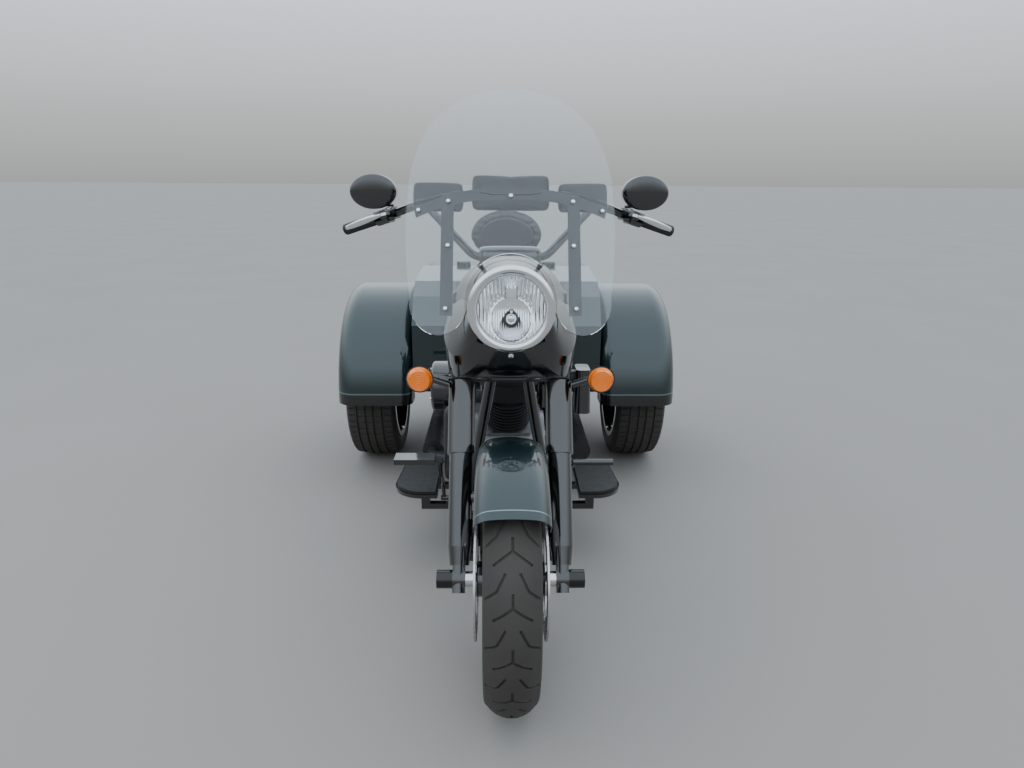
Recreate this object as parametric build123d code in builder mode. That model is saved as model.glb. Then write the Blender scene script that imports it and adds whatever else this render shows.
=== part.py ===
from build123d import *
from math import cos, radians, sin, sqrt, tan
import os

os.makedirs("parts", exist_ok=True)

# Motor trike, millimetres, +Z up, -Y forward, +X is the rider's left.
# The origin is on the ground, under the middle of the machine's length and width.

# Overall stations
overall_length = 2670.0
wheelbase = 1670.0
front_tyre_radius = 319.5
front_tyre_width = 130.0
front_rim_radius = 241.0
rear_tyre_radius = 325.0
rear_tyre_width = 215.0
rear_rim_radius = 229.0
rear_wheel_x = 594.0
fy = front_tyre_radius - overall_length / 2
ry = fy + wheelbase
rear_end = overall_length / 2
front_axle_z = front_tyre_radius
rear_axle_z = rear_tyre_radius

# Clearances
seat_gap = 0.3
running_gap = 0.05
moving_gap = 5.0

# Steering and fork
rake = 26.0
fork_angle = 32.0
trail = 99.0
leg_x = 130.0
slider_radius = 30.5
cover_radius = 36.5
upper_tube_radius = 24.5
cover_low = 318.0
cover_high = 514.0
leg_top = 800.0
axle_radius = 12.5
axle_cap_radius = 23.0
axle_end_x = 186.0
lug_width = 32.0
lug_radius = 27.0
head_low = 890.0
head_high = 1062.0
head_radius = 32.0
stem_radius = 20.0
tree_low = 850.0
tree_thickness = 32.0
top_tree_low = 1070.0
top_tree_thickness = 26.0

# Front brake and mudguard
disc_x = 87.0
disc_radius = 150.0
disc_thickness = 5.0
fender_half_width = 86.0
fender_crown_radius = 358.0
fender_skirt_radius = 288.0
caliper_reach = 62.0

# Headlamp and screen
lamp_y = fy + 140.0
lamp_z = 980.0
ring_radius = 109.0
ring_bore = 87.0
ring_depth = 24.7
screen_thickness = 4.5
screen_curve = 600.0
screen_base_y = fy + 205.0
screen_base_z = 930.0
screen_slope = 0.5

# Bars
bar_radius = 12.7
grip_radius = 17.5
grip_length = 125.0

# Engine
engine_y = fy + 790.0
crank_z = 340.0
barrel_tilt = 22.5
fin_radius = 75.0

# Rear bodywork
body_half_width = 392.0
fender_outer_x = 708.0
fender_radius = 445.0
fender_lift = 42.0
fender_wall = 4.0
fender_opening = 334.0
tub_wall = 20.0
hatch_half_width = 362.0
hatch_front = ry + 132.0
hatch_sill = 600.0
hinge_pin_radius = 4.0

# Frame tubes
backbone_radius = 25.0
rail_radius = 17.0

steer = Plane(
    origin=(0, fy - trail, 0),
    x_dir=(1, 0, 0),
    z_dir=(0, sin(radians(rake)), cos(radians(rake))),
)
fork = Plane(
    origin=(0, fy, front_axle_z),
    x_dir=(1, 0, 0),
    z_dir=(0, sin(radians(fork_angle)), cos(radians(fork_angle))),
)


def save(part, name):
    part.label = name
    export_step(part, f"parts/{name}.step")


def cross(y):
    """The upright plane across the machine at station y, drawn in X and Z."""
    return Plane.XZ.offset(-y)


def side(x):
    """The upright plane along the machine at x, drawn in Y and Z."""
    return Plane.YZ.offset(x)


def both_sides(part):
    """The part and its mirror image across the machine's middle."""
    with BuildPart() as pair:
        add(part)
        mirror(about=Plane.YZ)
    return pair.part


def tube(points, radius, bends):
    """A round bar along straight runs joined by arcs."""
    with BuildPart() as piece:
        with BuildLine() as path:
            FilletPolyline(*points, radius=bends)
        with BuildSketch(Plane(origin=path.line @ 0, z_dir=path.line % 0)):
            Circle(radius)
        sweep(path=path.line)
    return piece.part


def rod(start, end, radius):
    """A straight round bar between two points."""
    start, end = Vector(*start), Vector(*end)
    with BuildPart() as piece:
        with BuildSketch(Plane(origin=start, z_dir=end - start)):
            Circle(radius)
        extrude(amount=(end - start).length)
    return piece.part


def turned(points, base):
    """A solid of revolution about the plane's own Z, from radius and height pairs."""
    with BuildPart() as piece:
        with BuildSketch(Plane(origin=base.origin, x_dir=base.x_dir, z_dir=-base.y_dir)):
            with BuildLine():
                Polyline(*points, close=True)
            make_face()
        revolve(axis=Axis(base.origin, base.z_dir))
    return piece.part


def slab(points, start_x, end_x):
    """A side-view outline in Y and Z, extruded across the machine."""
    with BuildPart() as piece:
        with BuildSketch(side(start_x)):
            with BuildLine():
                Polyline(*points, close=True)
            make_face()
        extrude(amount=end_x - start_x)
    return piece.part


def block(low, high):
    """A plain box between two corners."""
    with BuildPart() as piece:
        with Locations(Vector(*[(a + b) / 2 for a, b in zip(low, high)])):
            Box(*[b - a for a, b in zip(low, high)])
    return piece.part


# Steering stem with its two trees
def leg_offset(height):
    """How far the fork legs stand behind the steering axis at this height."""
    leg_y = (height - front_axle_z) * tan(radians(fork_angle))
    axis_y = height * tan(radians(rake)) - trail
    return (leg_y - axis_y) * cos(radians(rake))


def leg_bores(radius, top):
    with BuildPart() as bores:
        with BuildSketch(fork):
            with Locations((-leg_x, 0), (leg_x, 0)):
                Circle(radius)
        extrude(amount=top)
    return bores.part


upper_bores = leg_bores(upper_tube_radius + seat_gap, leg_top + 60)
cover_bores = leg_bores(cover_radius + seat_gap, cover_high + seat_gap)
tree_table = (
    # low, thickness, boss radius, arm radius
    (tree_low, tree_thickness, 36.0, 32.0),
    (top_tree_low, top_tree_thickness, 34.0, 30.0),
)
stem_top = top_tree_low + top_tree_thickness


def trees(grow):
    """Both fork trees, or with a growth the room that they need."""
    with BuildPart() as pair:
        for low, thickness, boss, arm in tree_table:
            middle = (low + thickness / 2) * cos(radians(rake))
            with BuildSketch(steer.offset(low - grow)):
                Circle(boss + grow)
                with Locations((-leg_x, leg_offset(middle)), (leg_x, leg_offset(middle))):
                    Circle(arm + grow)
                make_hull()
            extrude(amount=thickness + 2 * grow)
    return pair.part


tree_pair = trees(0)
with BuildPart() as steering_stem:
    add(tree_pair)
    add(upper_bores, mode=Mode.SUBTRACT)
    add(cover_bores, mode=Mode.SUBTRACT)
    with BuildSketch(steer.offset(tree_low)):
        Circle(stem_radius)
    extrude(amount=stem_top - tree_low)
    with BuildSketch(steer.offset(stem_top)):
        RegularPolygon(stem_radius + 2, 6)
    extrude(amount=10)
save(steering_stem.part, "steering_stem")

# Fork legs: sliders with axle lugs, fender bosses and caliper lugs, black covers above
leg_profile = (
    (0, -34),
    (25, -34),
    (25, 34),
    (slider_radius, 80),
    (slider_radius, cover_low),
    (cover_radius, cover_low),
    (cover_radius, cover_high),
    (upper_tube_radius, cover_high),
    (upper_tube_radius, leg_top),
    (0, leg_top),
)
left_leg_plane = Plane(
    origin=fork.from_local_coords(Vector(leg_x, 0, 0)), x_dir=fork.x_dir, z_dir=fork.z_dir
)
leg_body = turned(leg_profile, left_leg_plane)
axle_lug = rod(
    (leg_x - lug_width / 2, fy, front_axle_z), (leg_x + lug_width / 2, fy, front_axle_z), lug_radius
)
boss_step = 205.0
boss_low = fork.from_local_coords(Vector(fender_half_width + seat_gap, 0, boss_step))
boss_high = fork.from_local_coords(Vector(leg_x, 0, boss_step))
fender_boss = rod(boss_low, boss_high, 13.0)
with BuildPart() as caliper_lug:
    with BuildSketch(Plane(origin=fork.from_local_coords(Vector(104, 0, 0)), x_dir=fork.y_dir, z_dir=(1, 0, 0))):
        with Locations((28, 112)):
            Rectangle(52, 86)
    extrude(amount=18)
with BuildPart() as fork_leg:
    add(leg_body)
    with BuildSketch(fork.offset(-60)):
        with Locations((leg_x - lug_width / 2 - 20, 0), (leg_x + lug_width / 2 + 20, 0)):
            Rectangle(40, 80)
    extrude(amount=60 + lug_radius + 6, mode=Mode.SUBTRACT)
    add(axle_lug)
    add(fender_boss)
    add(caliper_lug.part)
    with BuildSketch(side(leg_x - lug_width)):
        with Locations((fy, front_axle_z)):
            Circle(axle_radius + seat_gap)
    extrude(amount=2 * lug_width, mode=Mode.SUBTRACT)
fork_legs = both_sides(fork_leg.part)
save(fork_legs, "fork_legs")

# Front axle with end caps and spacers
hub_half = disc_x - disc_thickness / 2
with BuildPart() as front_axle:
    with BuildSketch(side(-axle_end_x)):
        with Locations((fy, front_axle_z)):
            Circle(axle_radius)
    extrude(amount=2 * axle_end_x)
    for start in (-axle_end_x, leg_x + lug_width / 2 + seat_gap):
        with BuildSketch(side(start)):
            with Locations((fy, front_axle_z)):
                Circle(axle_cap_radius)
        extrude(amount=axle_end_x - leg_x - lug_width / 2 - seat_gap)
    for start in (-leg_x + lug_width / 2 + seat_gap, hub_half + seat_gap):
        with BuildSketch(side(start)):
            with Locations((fy, front_axle_z)):
                Circle(19.0)
        extrude(amount=leg_x - lug_width / 2 - hub_half - 2 * seat_gap)
save(front_axle.part, "front_axle")


# Wheels
flange_height = 14.0


def ring_profile(plane, points, axis):
    """A closed outline of lines, turned about the wheel's own axis."""
    with BuildPart() as ring:
        with BuildSketch(plane):
            with BuildLine():
                Polyline(*points, close=True)
            make_face()
        revolve(axis=axis)
    return ring.part


def wheel(x, y, z, rim_radius, rim_width, hub_radius, hub_width, bore, spokes):
    """A cast wheel: drop-centre rim, hub and a ring of tapered spokes."""
    plane = Plane(origin=(x, y, z), x_dir=(1, 0, 0), z_dir=(0, -1, 0))
    axis = Axis((x, y, z), (1, 0, 0))
    half = rim_width / 2
    rim_points = (
        (-half, rim_radius + flange_height),
        (-half + 8, rim_radius + flange_height),
        (-half + 8, rim_radius),
        (-half + 28, rim_radius - 6),
        (-half * 0.4, rim_radius - 22),
        (half * 0.4, rim_radius - 22),
        (half - 28, rim_radius - 6),
        (half - 8, rim_radius),
        (half - 8, rim_radius + flange_height),
        (half, rim_radius + flange_height),
        (half, rim_radius - 8),
        (half - 26, rim_radius - 14),
        (half * 0.35, rim_radius - 32),
        (-half * 0.35, rim_radius - 32),
        (-half + 26, rim_radius - 14),
        (-half, rim_radius - 8),
    )
    with BuildPart() as spoke:
        with BuildSketch(Plane(origin=(x - 11, y, z), x_dir=(0, 1, 0), z_dir=(1, 0, 0))):
            with BuildLine():
                Polyline(
                    (-16, hub_radius - 6),
                    (16, hub_radius - 6),
                    (9, rim_radius - 26),
                    (-9, rim_radius - 26),
                    close=True,
                )
            make_face()
        extrude(amount=22)
    hub = rod((x - hub_width / 2, y, z), (x + hub_width / 2, y, z), hub_radius)
    rim = ring_profile(plane, rim_points, axis)
    with BuildPart() as part:
        add(rim)
        add(hub)
        for step in range(spokes):
            add(spoke.part.rotate(axis, step * 360 / spokes))
        add(rod((x - hub_width, y, z), (x + hub_width, y, z), bore), mode=Mode.SUBTRACT)
    return part.part


def tyre(x, y, z, outer, width, rim_radius, rim_width, crown):
    """A tyre carcass: crowned tread, bowed walls and beads on the rim's seats."""
    plane = Plane(origin=(x, y, z), x_dir=(1, 0, 0), z_dir=(0, -1, 0))
    seat = rim_radius + seat_gap
    flange = rim_radius + flange_height + seat_gap
    half = width / 2
    bead = rim_width / 2 - 8 - seat_gap
    shoulder = outer - crown
    wall = (seat + shoulder) / 2
    tread = half * 0.86
    with BuildPart() as part:
        with BuildSketch(plane):
            with BuildLine():
                ThreePointArc((-tread, shoulder), (0, outer), (tread, shoulder))
                ThreePointArc((tread, shoulder), (half, wall + 4), (bead, flange))
                Line((bead, flange), (bead, seat))
                ThreePointArc((bead, seat), (0, seat + 14), (-bead, seat))
                Line((-bead, seat), (-bead, flange))
                ThreePointArc((-bead, flange), (-half, wall + 4), (-tread, shoulder))
            make_face()
        revolve(axis=Axis((x, y, z), (1, 0, 0)))
    return part.part


front_rim_width = 104.0
rear_rim_width = 204.0
front_wheel = wheel(
    0, fy, front_axle_z, front_rim_radius, front_rim_width, 44.0, 2 * hub_half, axle_radius + running_gap, 10
)
save(front_wheel, "front_wheel")
front_tyre = tyre(
    0, fy, front_axle_z, front_tyre_radius, front_tyre_width, front_rim_radius, front_rim_width, 26.0
)
save(front_tyre, "front_tyre")

# Brake discs on the front hub's two faces
with BuildPart() as front_discs:
    for start in (-disc_x - disc_thickness / 2, disc_x - disc_thickness / 2):
        with BuildSketch(side(start)):
            with Locations((fy, front_axle_z)):
                Circle(disc_radius)
                Circle(104.0, mode=Mode.SUBTRACT)
                Circle(50.0)
                Circle(24.0, mode=Mode.SUBTRACT)
                with PolarLocations(76.0, 5):
                    Rectangle(64.0, 22.0)
        extrude(amount=disc_thickness)
save(front_discs.part, "front_discs")

# Front calipers behind the legs
with BuildPart() as caliper:
    with BuildSketch(Plane(origin=fork.from_local_coords(Vector(60, 0, 0)), x_dir=fork.y_dir, z_dir=(1, 0, 0))):
        with BuildLine():
            Polyline((54.3, 66), (112, 44), (134, 96), (104, 150), (54.3, 158), close=True)
        make_face()
    extrude(amount=caliper_reach)
    fillet(caliper.edges().filter_by(Axis.X), 8)
    with BuildSketch(side(disc_x - disc_thickness / 2 - moving_gap)):
        with Locations((fy, front_axle_z)):
            Circle(disc_radius + moving_gap)
    extrude(amount=disc_thickness + 2 * moving_gap, mode=Mode.SUBTRACT)
save(both_sides(caliper.part), "front_calipers")

# Front mudguard: a crowned channel turned about the axle
fender_front_angle = 38.0
fender_rear_angle = 88.0
fender_start = Plane(
    origin=(0, fy, front_axle_z),
    x_dir=(1, 0, 0),
    z_dir=(0, -cos(radians(fender_rear_angle)), sin(radians(fender_rear_angle))),
)
with BuildPart() as front_fender:
    with BuildSketch(fender_start):
        for half, crown, low, mode in (
            (fender_half_width, fender_crown_radius, fender_skirt_radius, Mode.ADD),
            (fender_half_width - 3, fender_crown_radius - 3, fender_skirt_radius - 9, Mode.SUBTRACT),
        ):
            corner = 40.0 - (fender_half_width - half)
            with BuildLine():
                l1 = Line((half, low), (half, crown - corner - 4))
                l2 = ThreePointArc(
                    l1 @ 1, (half - corner * 0.35, crown - 4 - corner * 0.34), (half - corner, crown - 4)
                )
                l3 = ThreePointArc(l2 @ 1, (0, crown), (corner - half, crown - 4))
                l4 = ThreePointArc(
                    l3 @ 1, (corner * 0.35 - half, crown - 4 - corner * 0.34), (-half, crown - corner - 4)
                )
                l5 = Line(l4 @ 1, (-half, low))
                l6 = Line(l5 @ 1, l1 @ 0)
            make_face(mode=mode)
    revolve(axis=Axis((0, fy, front_axle_z), (1, 0, 0)), revolution_arc=fender_front_angle + fender_rear_angle)
    for start in (-fender_half_width, fender_half_width - 3):
        with BuildSketch(Plane(origin=fork.from_local_coords(Vector(start, 0, 0)), x_dir=fork.y_dir, z_dir=(1, 0, 0))):
            with Locations((0, (boss_step - 20 + fender_skirt_radius + 10) / 2)):
                RectangleRounded(50, fender_skirt_radius + 30 - boss_step, 12)
        extrude(amount=3)
save(front_fender.part, "front_fender")

# Headlamp: chrome ring, clear lens and reflector bowl
lamp = Plane(origin=(0, lamp_y, lamp_z), x_dir=(1, 0, 0), z_dir=(0, 1, 0))
with BuildPart() as headlamp_ring:
    with BuildSketch(Plane(origin=lamp.origin, x_dir=(1, 0, 0), z_dir=-lamp.y_dir)):
        with BuildLine():
            Polyline((ring_bore, 6), (ring_bore, ring_depth), (ring_radius, ring_depth), (ring_radius, 14))
            ThreePointArc((ring_radius, 14), ((ring_bore + ring_radius) / 2 + 4, 0), (ring_bore, 6))
        make_face()
    revolve(axis=Axis(lamp.origin, lamp.z_dir))
save(headlamp_ring.part, "headlamp_ring")

lens_radius = ring_bore - seat_gap
lens_rise = 14.0
lens_rim = 8.0
lens_glass = 3.5
lens_sphere = (lens_radius**2 + lens_rise**2) / (2 * lens_rise)
with BuildPart() as headlamp_lens:
    with BuildSketch(Plane(origin=lamp.origin, x_dir=(1, 0, 0), z_dir=-lamp.y_dir)):
        with Locations((0, lens_rim - lens_rise + lens_sphere)):
            Circle(lens_sphere)
            Circle(lens_sphere - lens_glass, mode=Mode.SUBTRACT)
        with Locations((lens_radius / 2, 0)):
            Rectangle(lens_radius, 40, mode=Mode.INTERSECT)
        with Locations((lens_radius / 2, -20)):
            Rectangle(lens_radius, 64, mode=Mode.INTERSECT)
    revolve(axis=Axis(lamp.origin, lamp.z_dir))
save(headlamp_lens.part, "headlamp_lens")

bowl_depth = 88.0
with BuildPart() as headlamp_bowl:
    with BuildSketch(Plane(origin=lamp.origin, x_dir=(1, 0, 0), z_dir=-lamp.y_dir)):
        with BuildLine():
            Line((lens_radius, 12 + seat_gap), (lens_radius - 3, 12 + seat_gap))
            ThreePointArc((lens_radius - 3, 12 + seat_gap), (62, 50), (12, bowl_depth))
            Polyline((12, bowl_depth), (12, bowl_depth + 16), (16, bowl_depth + 16), (16, bowl_depth + 3))
            ThreePointArc((16, bowl_depth + 3), (65, 52), (lens_radius, 12 + seat_gap))
        make_face()
    revolve(axis=Axis(lamp.origin, lamp.z_dir))
save(headlamp_bowl.part, "headlamp_bowl")

# Nacelle: an open shell lofted from the lamp's round mouth back over the fork
nacelle_wall = 4.0
nacelle_bulge = 5.0
nacelle_table = (
    # station, crown height, eye height, eye half width, waist half width and height, foot half width and height
    (165.0, 1084.0, 980.0, 104.0, 80.0, 913.5, 40.0, 884.0),
    (240.0, 1087.0, 978.0, 108.0, 158.0, 846.0, 140.0, 782.0),
    (310.0, 1091.0, 975.0, 126.0, 179.0, 868.0, 166.0, 770.0),
    (430.0, 1062.0, 930.0, 174.0, 179.0, 860.0, 170.0, 766.0),
)


def nacelle_loft(inset):
    """The shell's outer form, or with an inset the space inside it."""
    with BuildPart() as shape:
        for station, crown, eye_z, eye, waist, waist_z, foot, foot_z in nacelle_table:
            step = 0 if inset == 0 else (-1 if station == nacelle_table[0][0] else 1)
            top = crown - inset
            e = eye - inset
            w = waist - inset
            f = foot - inset
            floor = foot_z - 10 + inset
            with BuildSketch(cross(fy + station + step)):
                with BuildLine():
                    for s in (1, -1):
                        ThreePointArc((0, top), (s * e * 0.72, eye_z + (top - eye_z) * 0.7), (s * e, eye_z))
                        ThreePointArc(
                            (s * e, eye_z), (s * ((e + w) / 2 + nacelle_bulge), (eye_z + waist_z) / 2), (s * w, waist_z)
                        )
                        ThreePointArc(
                            (s * w, waist_z),
                            (s * (w * 0.35 + f * 0.65), foot_z + (waist_z - foot_z) * 0.28 + inset * 0.5),
                            (s * f, foot_z + inset * 0.7),
                        )
                        ThreePointArc((s * f, foot_z + inset * 0.7), (s * f * 0.5, floor + 3), (0, floor))
                make_face()
        loft()
    return shape.part


nacelle_core = nacelle_loft(nacelle_wall)
tree_room = trees(seat_gap)
with BuildPart() as nacelle:
    add(nacelle_loft(0))
    add(nacelle_core, mode=Mode.SUBTRACT)
    add(cover_bores, mode=Mode.SUBTRACT)
    add(upper_bores, mode=Mode.SUBTRACT)
    add(tree_room, mode=Mode.SUBTRACT)
    add(block((-162, fy + 262, 700), (162, fy + 460, 806)), mode=Mode.SUBTRACT)
save(nacelle.part, "nacelle")


# Windscreen: a sheet curved in plan and raked, trimmed to its outline
def screen_band(near, far, low, high):
    """A raked, curved band between two depths behind the screen's outer face."""
    base = screen_base_y + (low - screen_base_z) * screen_slope
    with BuildPart() as band:
        with BuildSketch(Plane.XY.offset(low)):
            with Locations((0, base + screen_curve)):
                Circle(screen_curve - near)
                Circle(screen_curve - far, mode=Mode.SUBTRACT)
            with Locations((0, base + screen_curve + 130)):
                Rectangle(4 * screen_curve, 2 * screen_curve, mode=Mode.SUBTRACT)
        extrude(amount=(high - low) * sqrt(1 + screen_slope**2), dir=(0, screen_slope, 1))
    return band.part


screen_half_arch = 118.0
with BuildPart() as windscreen:
    with BuildSketch(cross(fy + 800)):
        with BuildLine():
            for s in (1, -1):
                ThreePointArc((0, 1524), (s * 143, 1486), (s * 225, 1421))
                ThreePointArc((s * 225, 1421), (s * 266, 1330), (s * 284, 1225))
                ThreePointArc((s * 284, 1225), (s * 285, 1110), (s * 269, 985))
                ThreePointArc((s * 269, 985), (s * 250, 924), (s * 198, 898))
                ThreePointArc((s * 198, 898), (s * 146, 914), (s * screen_half_arch, 962))
                ThreePointArc((s * screen_half_arch, 962), (s * 88, 1062), (0, 1100))
        make_face()
    extrude(amount=900)
    add(screen_band(0, screen_thickness, 860, 1560), mode=Mode.INTERSECT)
save(windscreen.part, "windscreen")

# Screen bracket: a bent cross strap and two uprights against the sheet's rear face
strap_front = screen_thickness + seat_gap
strap_back = strap_front + 3.0
with BuildPart() as screen_bracket:
    with BuildSketch(cross(fy + 800)):
        with BuildLine():
            for s in (1, -1):
                ThreePointArc((0, 1262), (s * 140, 1250), (s * 262, 1206))
                Line((s * 262, 1206), (s * 254, 1182))
                ThreePointArc((s * 254, 1182), (s * 136, 1222), (0, 1232))
        make_face()
        with Locations((-168, 1095), (168, 1095)):
            Rectangle(34, 300)
    extrude(amount=900)
    add(screen_band(strap_front, strap_back, 860, 1560), mode=Mode.INTERSECT)
save(screen_bracket.part, "screen_bracket")

# Screen bag: three soft pockets behind the sheet
bag_front = strap_back + seat_gap
with BuildPart() as screen_bag:
    with BuildSketch(cross(fy + 800)):
        with Locations((0, 1248)):
            RectangleRounded(218, 100, 18)
        with Locations((-196, 1236), (196, 1236)):
            RectangleRounded(150, 84, 18)
    extrude(amount=900)
    add(screen_band(bag_front, bag_front + 32, 860, 1560), mode=Mode.INTERSECT)
save(screen_bag.part, "screen_bag")

# Handlebar on two risers from the top tree
bar_clamp_y = fy + 470.0
bar_clamp_z = 1070.0
bar_rise = (250.0, fy + 570.0, 1214.0)
bar_end = (505.0, fy + 705.0, 1128.0)
bar_line = [
    (-bar_end[0], bar_end[1], bar_end[2]),
    (-bar_rise[0], bar_rise[1], bar_rise[2]),
    (-100.0, bar_clamp_y, bar_clamp_z),
    (100.0, bar_clamp_y, bar_clamp_z),
    bar_rise,
    bar_end,
]
bar_tube = tube(bar_line, bar_radius, 55.0)
riser_x = 42.0
riser_foot = steer.from_local_coords(Vector(0, 0, stem_top + seat_gap))
along = steer.from_local_coords(Vector(0, 20, stem_top + seat_gap)) - riser_foot
riser_side = [
    (riser_foot.Y, riser_foot.Z),
    (riser_foot.Y + 2 * along.Y, riser_foot.Z + 2 * along.Z),
    (bar_clamp_y + 22, bar_clamp_z - 22),
    (bar_clamp_y + 22, bar_clamp_z + 22),
    (bar_clamp_y - 22, bar_clamp_z + 22),
    (bar_clamp_y - 22, bar_clamp_z - 22),
]
with BuildPart() as handlebar:
    for start in (-riser_x - 26, riser_x):
        add(slab(riser_side, start, start + 26))
        add(rod((start - 1, bar_clamp_y, bar_clamp_z), (start + 27, bar_clamp_y, bar_clamp_z), bar_radius + seat_gap), mode=Mode.SUBTRACT)
    add(bar_tube)
save(handlebar.part, "handlebar")

# Grips over the bar's ends
bar_dir = (Vector(*bar_end) - Vector(*bar_rise)).normalized()
grip_start = Vector(*bar_end) - bar_dir * grip_length
with BuildPart() as grip:
    with BuildSketch(Plane(origin=grip_start, z_dir=bar_dir)):
        Circle(grip_radius)
        Circle(bar_radius + seat_gap, mode=Mode.SUBTRACT)
    extrude(amount=grip_length + 6)
    with BuildSketch(Plane(origin=grip_start + bar_dir * (grip_length + seat_gap), z_dir=bar_dir)):
        Circle(grip_radius)
    extrude(amount=6)
save(both_sides(grip.part), "grips")

# Switch housings and lever perches inboard of the grips
housing_length = 46.0
perch_length = 24.0
housing_start = grip_start - bar_dir * (housing_length + seat_gap)
perch_start = housing_start - bar_dir * (perch_length + seat_gap)
perch = Plane(origin=perch_start, x_dir=(0, 0, 1), z_dir=bar_dir)
bar_room = rod(perch_start - bar_dir * 20, grip_start + bar_dir * 20, bar_radius + seat_gap)
lever_thickness = 8.0
with BuildPart() as bar_control:
    with BuildSketch(Plane(origin=housing_start, x_dir=(0, 0, 1), z_dir=bar_dir)):
        RectangleRounded(46, 40, 12)
    extrude(amount=housing_length)
    with BuildSketch(perch):
        RectangleRounded(36, 40, 12)
        with Locations((0, 30)):
            RectangleRounded(24, 48, 6)
    extrude(amount=perch_length)
    with BuildSketch(perch.offset(-1)):
        with Locations((0, 42)):
            Rectangle(lever_thickness + 2 * seat_gap, 36)
    extrude(amount=perch_length + 2, mode=Mode.SUBTRACT)
    add(bar_room, mode=Mode.SUBTRACT)
save(both_sides(bar_control.part), "bar_controls")

# Hand levers, held in the perches' slots and bowed ahead of the grips
lever_plane = Plane(origin=perch_start, x_dir=bar_dir, z_dir=perch.x_dir)
with BuildPart() as hand_lever:
    with BuildSketch(lever_plane.offset(-lever_thickness / 2)):
        with BuildLine():
            Polyline(
                (2, -30),
                (2, -50),
                (14, -58),
                (92, -50),
                (168, -34),
                (176, -26),
                (168, -22),
                (90, -38),
                (30, -34),
                close=True,
            )
        make_face()
    extrude(amount=lever_thickness)
save(both_sides(hand_lever.part), "hand_levers")

# Mirrors on cranked stems from the perches
mirror_x = 400.0
mirror_z = 1245.0
mirror_y = fy + 610.0
stem_foot = perch_start + bar_dir * (perch_length / 2) + Vector(0, 0, 24.5)
with BuildPart() as mirror_unit:
    with BuildSketch(cross(mirror_y)):
        with Locations((mirror_x, mirror_z)):
            Ellipse(68, 50)
    extrude(amount=28)
    add(rod(stem_foot, (mirror_x - 30, mirror_y - 10, mirror_z - 38), 5.0))
save(both_sides(mirror_unit.part), "mirrors")

# Turn signals on the lower fork covers
signal_x = 239.0
signal_z = 780.0
signal_y = fy + 200.0
with BuildPart() as turn_signal:
    with BuildSketch(cross(signal_y + 20)):
        with Locations((signal_x, signal_z)):
            Circle(37)
    extrude(amount=-60, taper=14)
    add(rod((leg_x + cover_radius + seat_gap, signal_y + 55, signal_z - 25), (signal_x - 10, signal_y + 45, signal_z), 9.0))
save(both_sides(turn_signal.part), "turn_signals")
with BuildPart() as signal_lens:
    with BuildSketch(cross(signal_y + 20 - seat_gap)):
        with Locations((signal_x, signal_z)):
            Circle(33.5)
    extrude(amount=18, taper=20)
save(both_sides(signal_lens.part), "signal_lenses")

# Frame: head, backbone, down tubes, lower rails and the rails under the body
rail_x = 146.0
rail_z = 190.0
seat_base_z = 690.0
post_y = ry - 402.0
body_floor_z = 430.0
rear_rail_z = body_floor_z - rail_radius - seat_gap
rear_rail_end = ry + 560.0
shock_x = 205.0
shock_top_y = ry + 330.0
cooler_z = 340.0
cooler_bar_y = fy + 512.0
head_tube = turned(
    (
        (0, head_low),
        (head_radius, head_low),
        (head_radius, head_high),
        (0, head_high),
    ),
    steer,
)
stem_bore = turned(
    (
        (0, head_low - 20),
        (stem_radius + running_gap, head_low - 20),
        (stem_radius + running_gap, head_high + 20),
        (0, head_high + 20),
    ),
    steer,
)
backbone_low_z = seat_base_z - seat_gap - backbone_radius
spine_front = (0, fy + 352, 884)
spine_rear = (0, fy + 960, 806)
backbone = tube(
    [
        spine_front,
        spine_rear,
        (0, fy + 1040, backbone_low_z),
        (0, post_y + rail_radius, backbone_low_z),
    ],
    backbone_radius,
    60,
)
down_tube = tube(
    [
        (36, fy + 372, 812),
        (52, fy + 424, 730),
        (124, fy + 512, 320),
        (rail_x, fy + 566, rail_z),
        (rail_x, post_y, rail_z),
        (rail_x, ry - 330, rear_rail_z),
        (rail_x, rear_rail_end, rear_rail_z),
    ],
    rail_radius,
    38,
)
seat_post = tube(
    [(0, post_y, backbone_low_z), (rail_x, post_y, 480), (rail_x, post_y, rail_z)], rail_radius, 40
)
with BuildPart() as frame:
    add(head_tube)
    add(backbone)
    add(both_sides(down_tube))
    add(both_sides(seat_post))
    for y in (fy + 600, ry - 480):
        add(rod((-rail_x, y, rail_z), (rail_x, y, rail_z), rail_radius - 4))
    for y in (ry + 200, shock_top_y):
        reach = rail_x if y == ry + 200 else shock_x + 24
        add(rod((-reach, y, rear_rail_z), (reach, y, rear_rail_z), rail_radius - 5))
    add(rod((-124, cooler_bar_y, cooler_z), (124, cooler_bar_y, cooler_z), 12.0))
    add(stem_bore, mode=Mode.SUBTRACT)
save(frame.part, "frame")

# Oil cooler ahead of the front cross bar
with BuildPart() as oil_cooler:
    cooler_back = cooler_bar_y - 12.0 - seat_gap
    add(block((-78, cooler_back - 22, cooler_z - 62), (78, cooler_back, cooler_z + 62)))
    for step in range(8):
        z = cooler_z - 52 + step * 14
        add(block((-84, cooler_back - 26, z), (84, cooler_back - 4, z + 5)))
save(oil_cooler.part, "oil_cooler")

# Swingarm between the seat posts and the rear axle
arm_x = 108.0
arm_radius = 18.0
arm_pivot_z = 300.0
with BuildPart() as swingarm:
    pivot_end = rail_x - rail_radius - seat_gap
    add(rod((-pivot_end, post_y, arm_pivot_z), (pivot_end, post_y, arm_pivot_z), 20.0))
    for x in (-arm_x, arm_x):
        add(rod((x, post_y, arm_pivot_z), (x, ry - 10, rear_axle_z), arm_radius))
    add(rod((-200, ry, rear_axle_z), (200, ry, rear_axle_z), 34.0 + seat_gap), mode=Mode.SUBTRACT)
save(swingarm.part, "swingarm")

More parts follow.
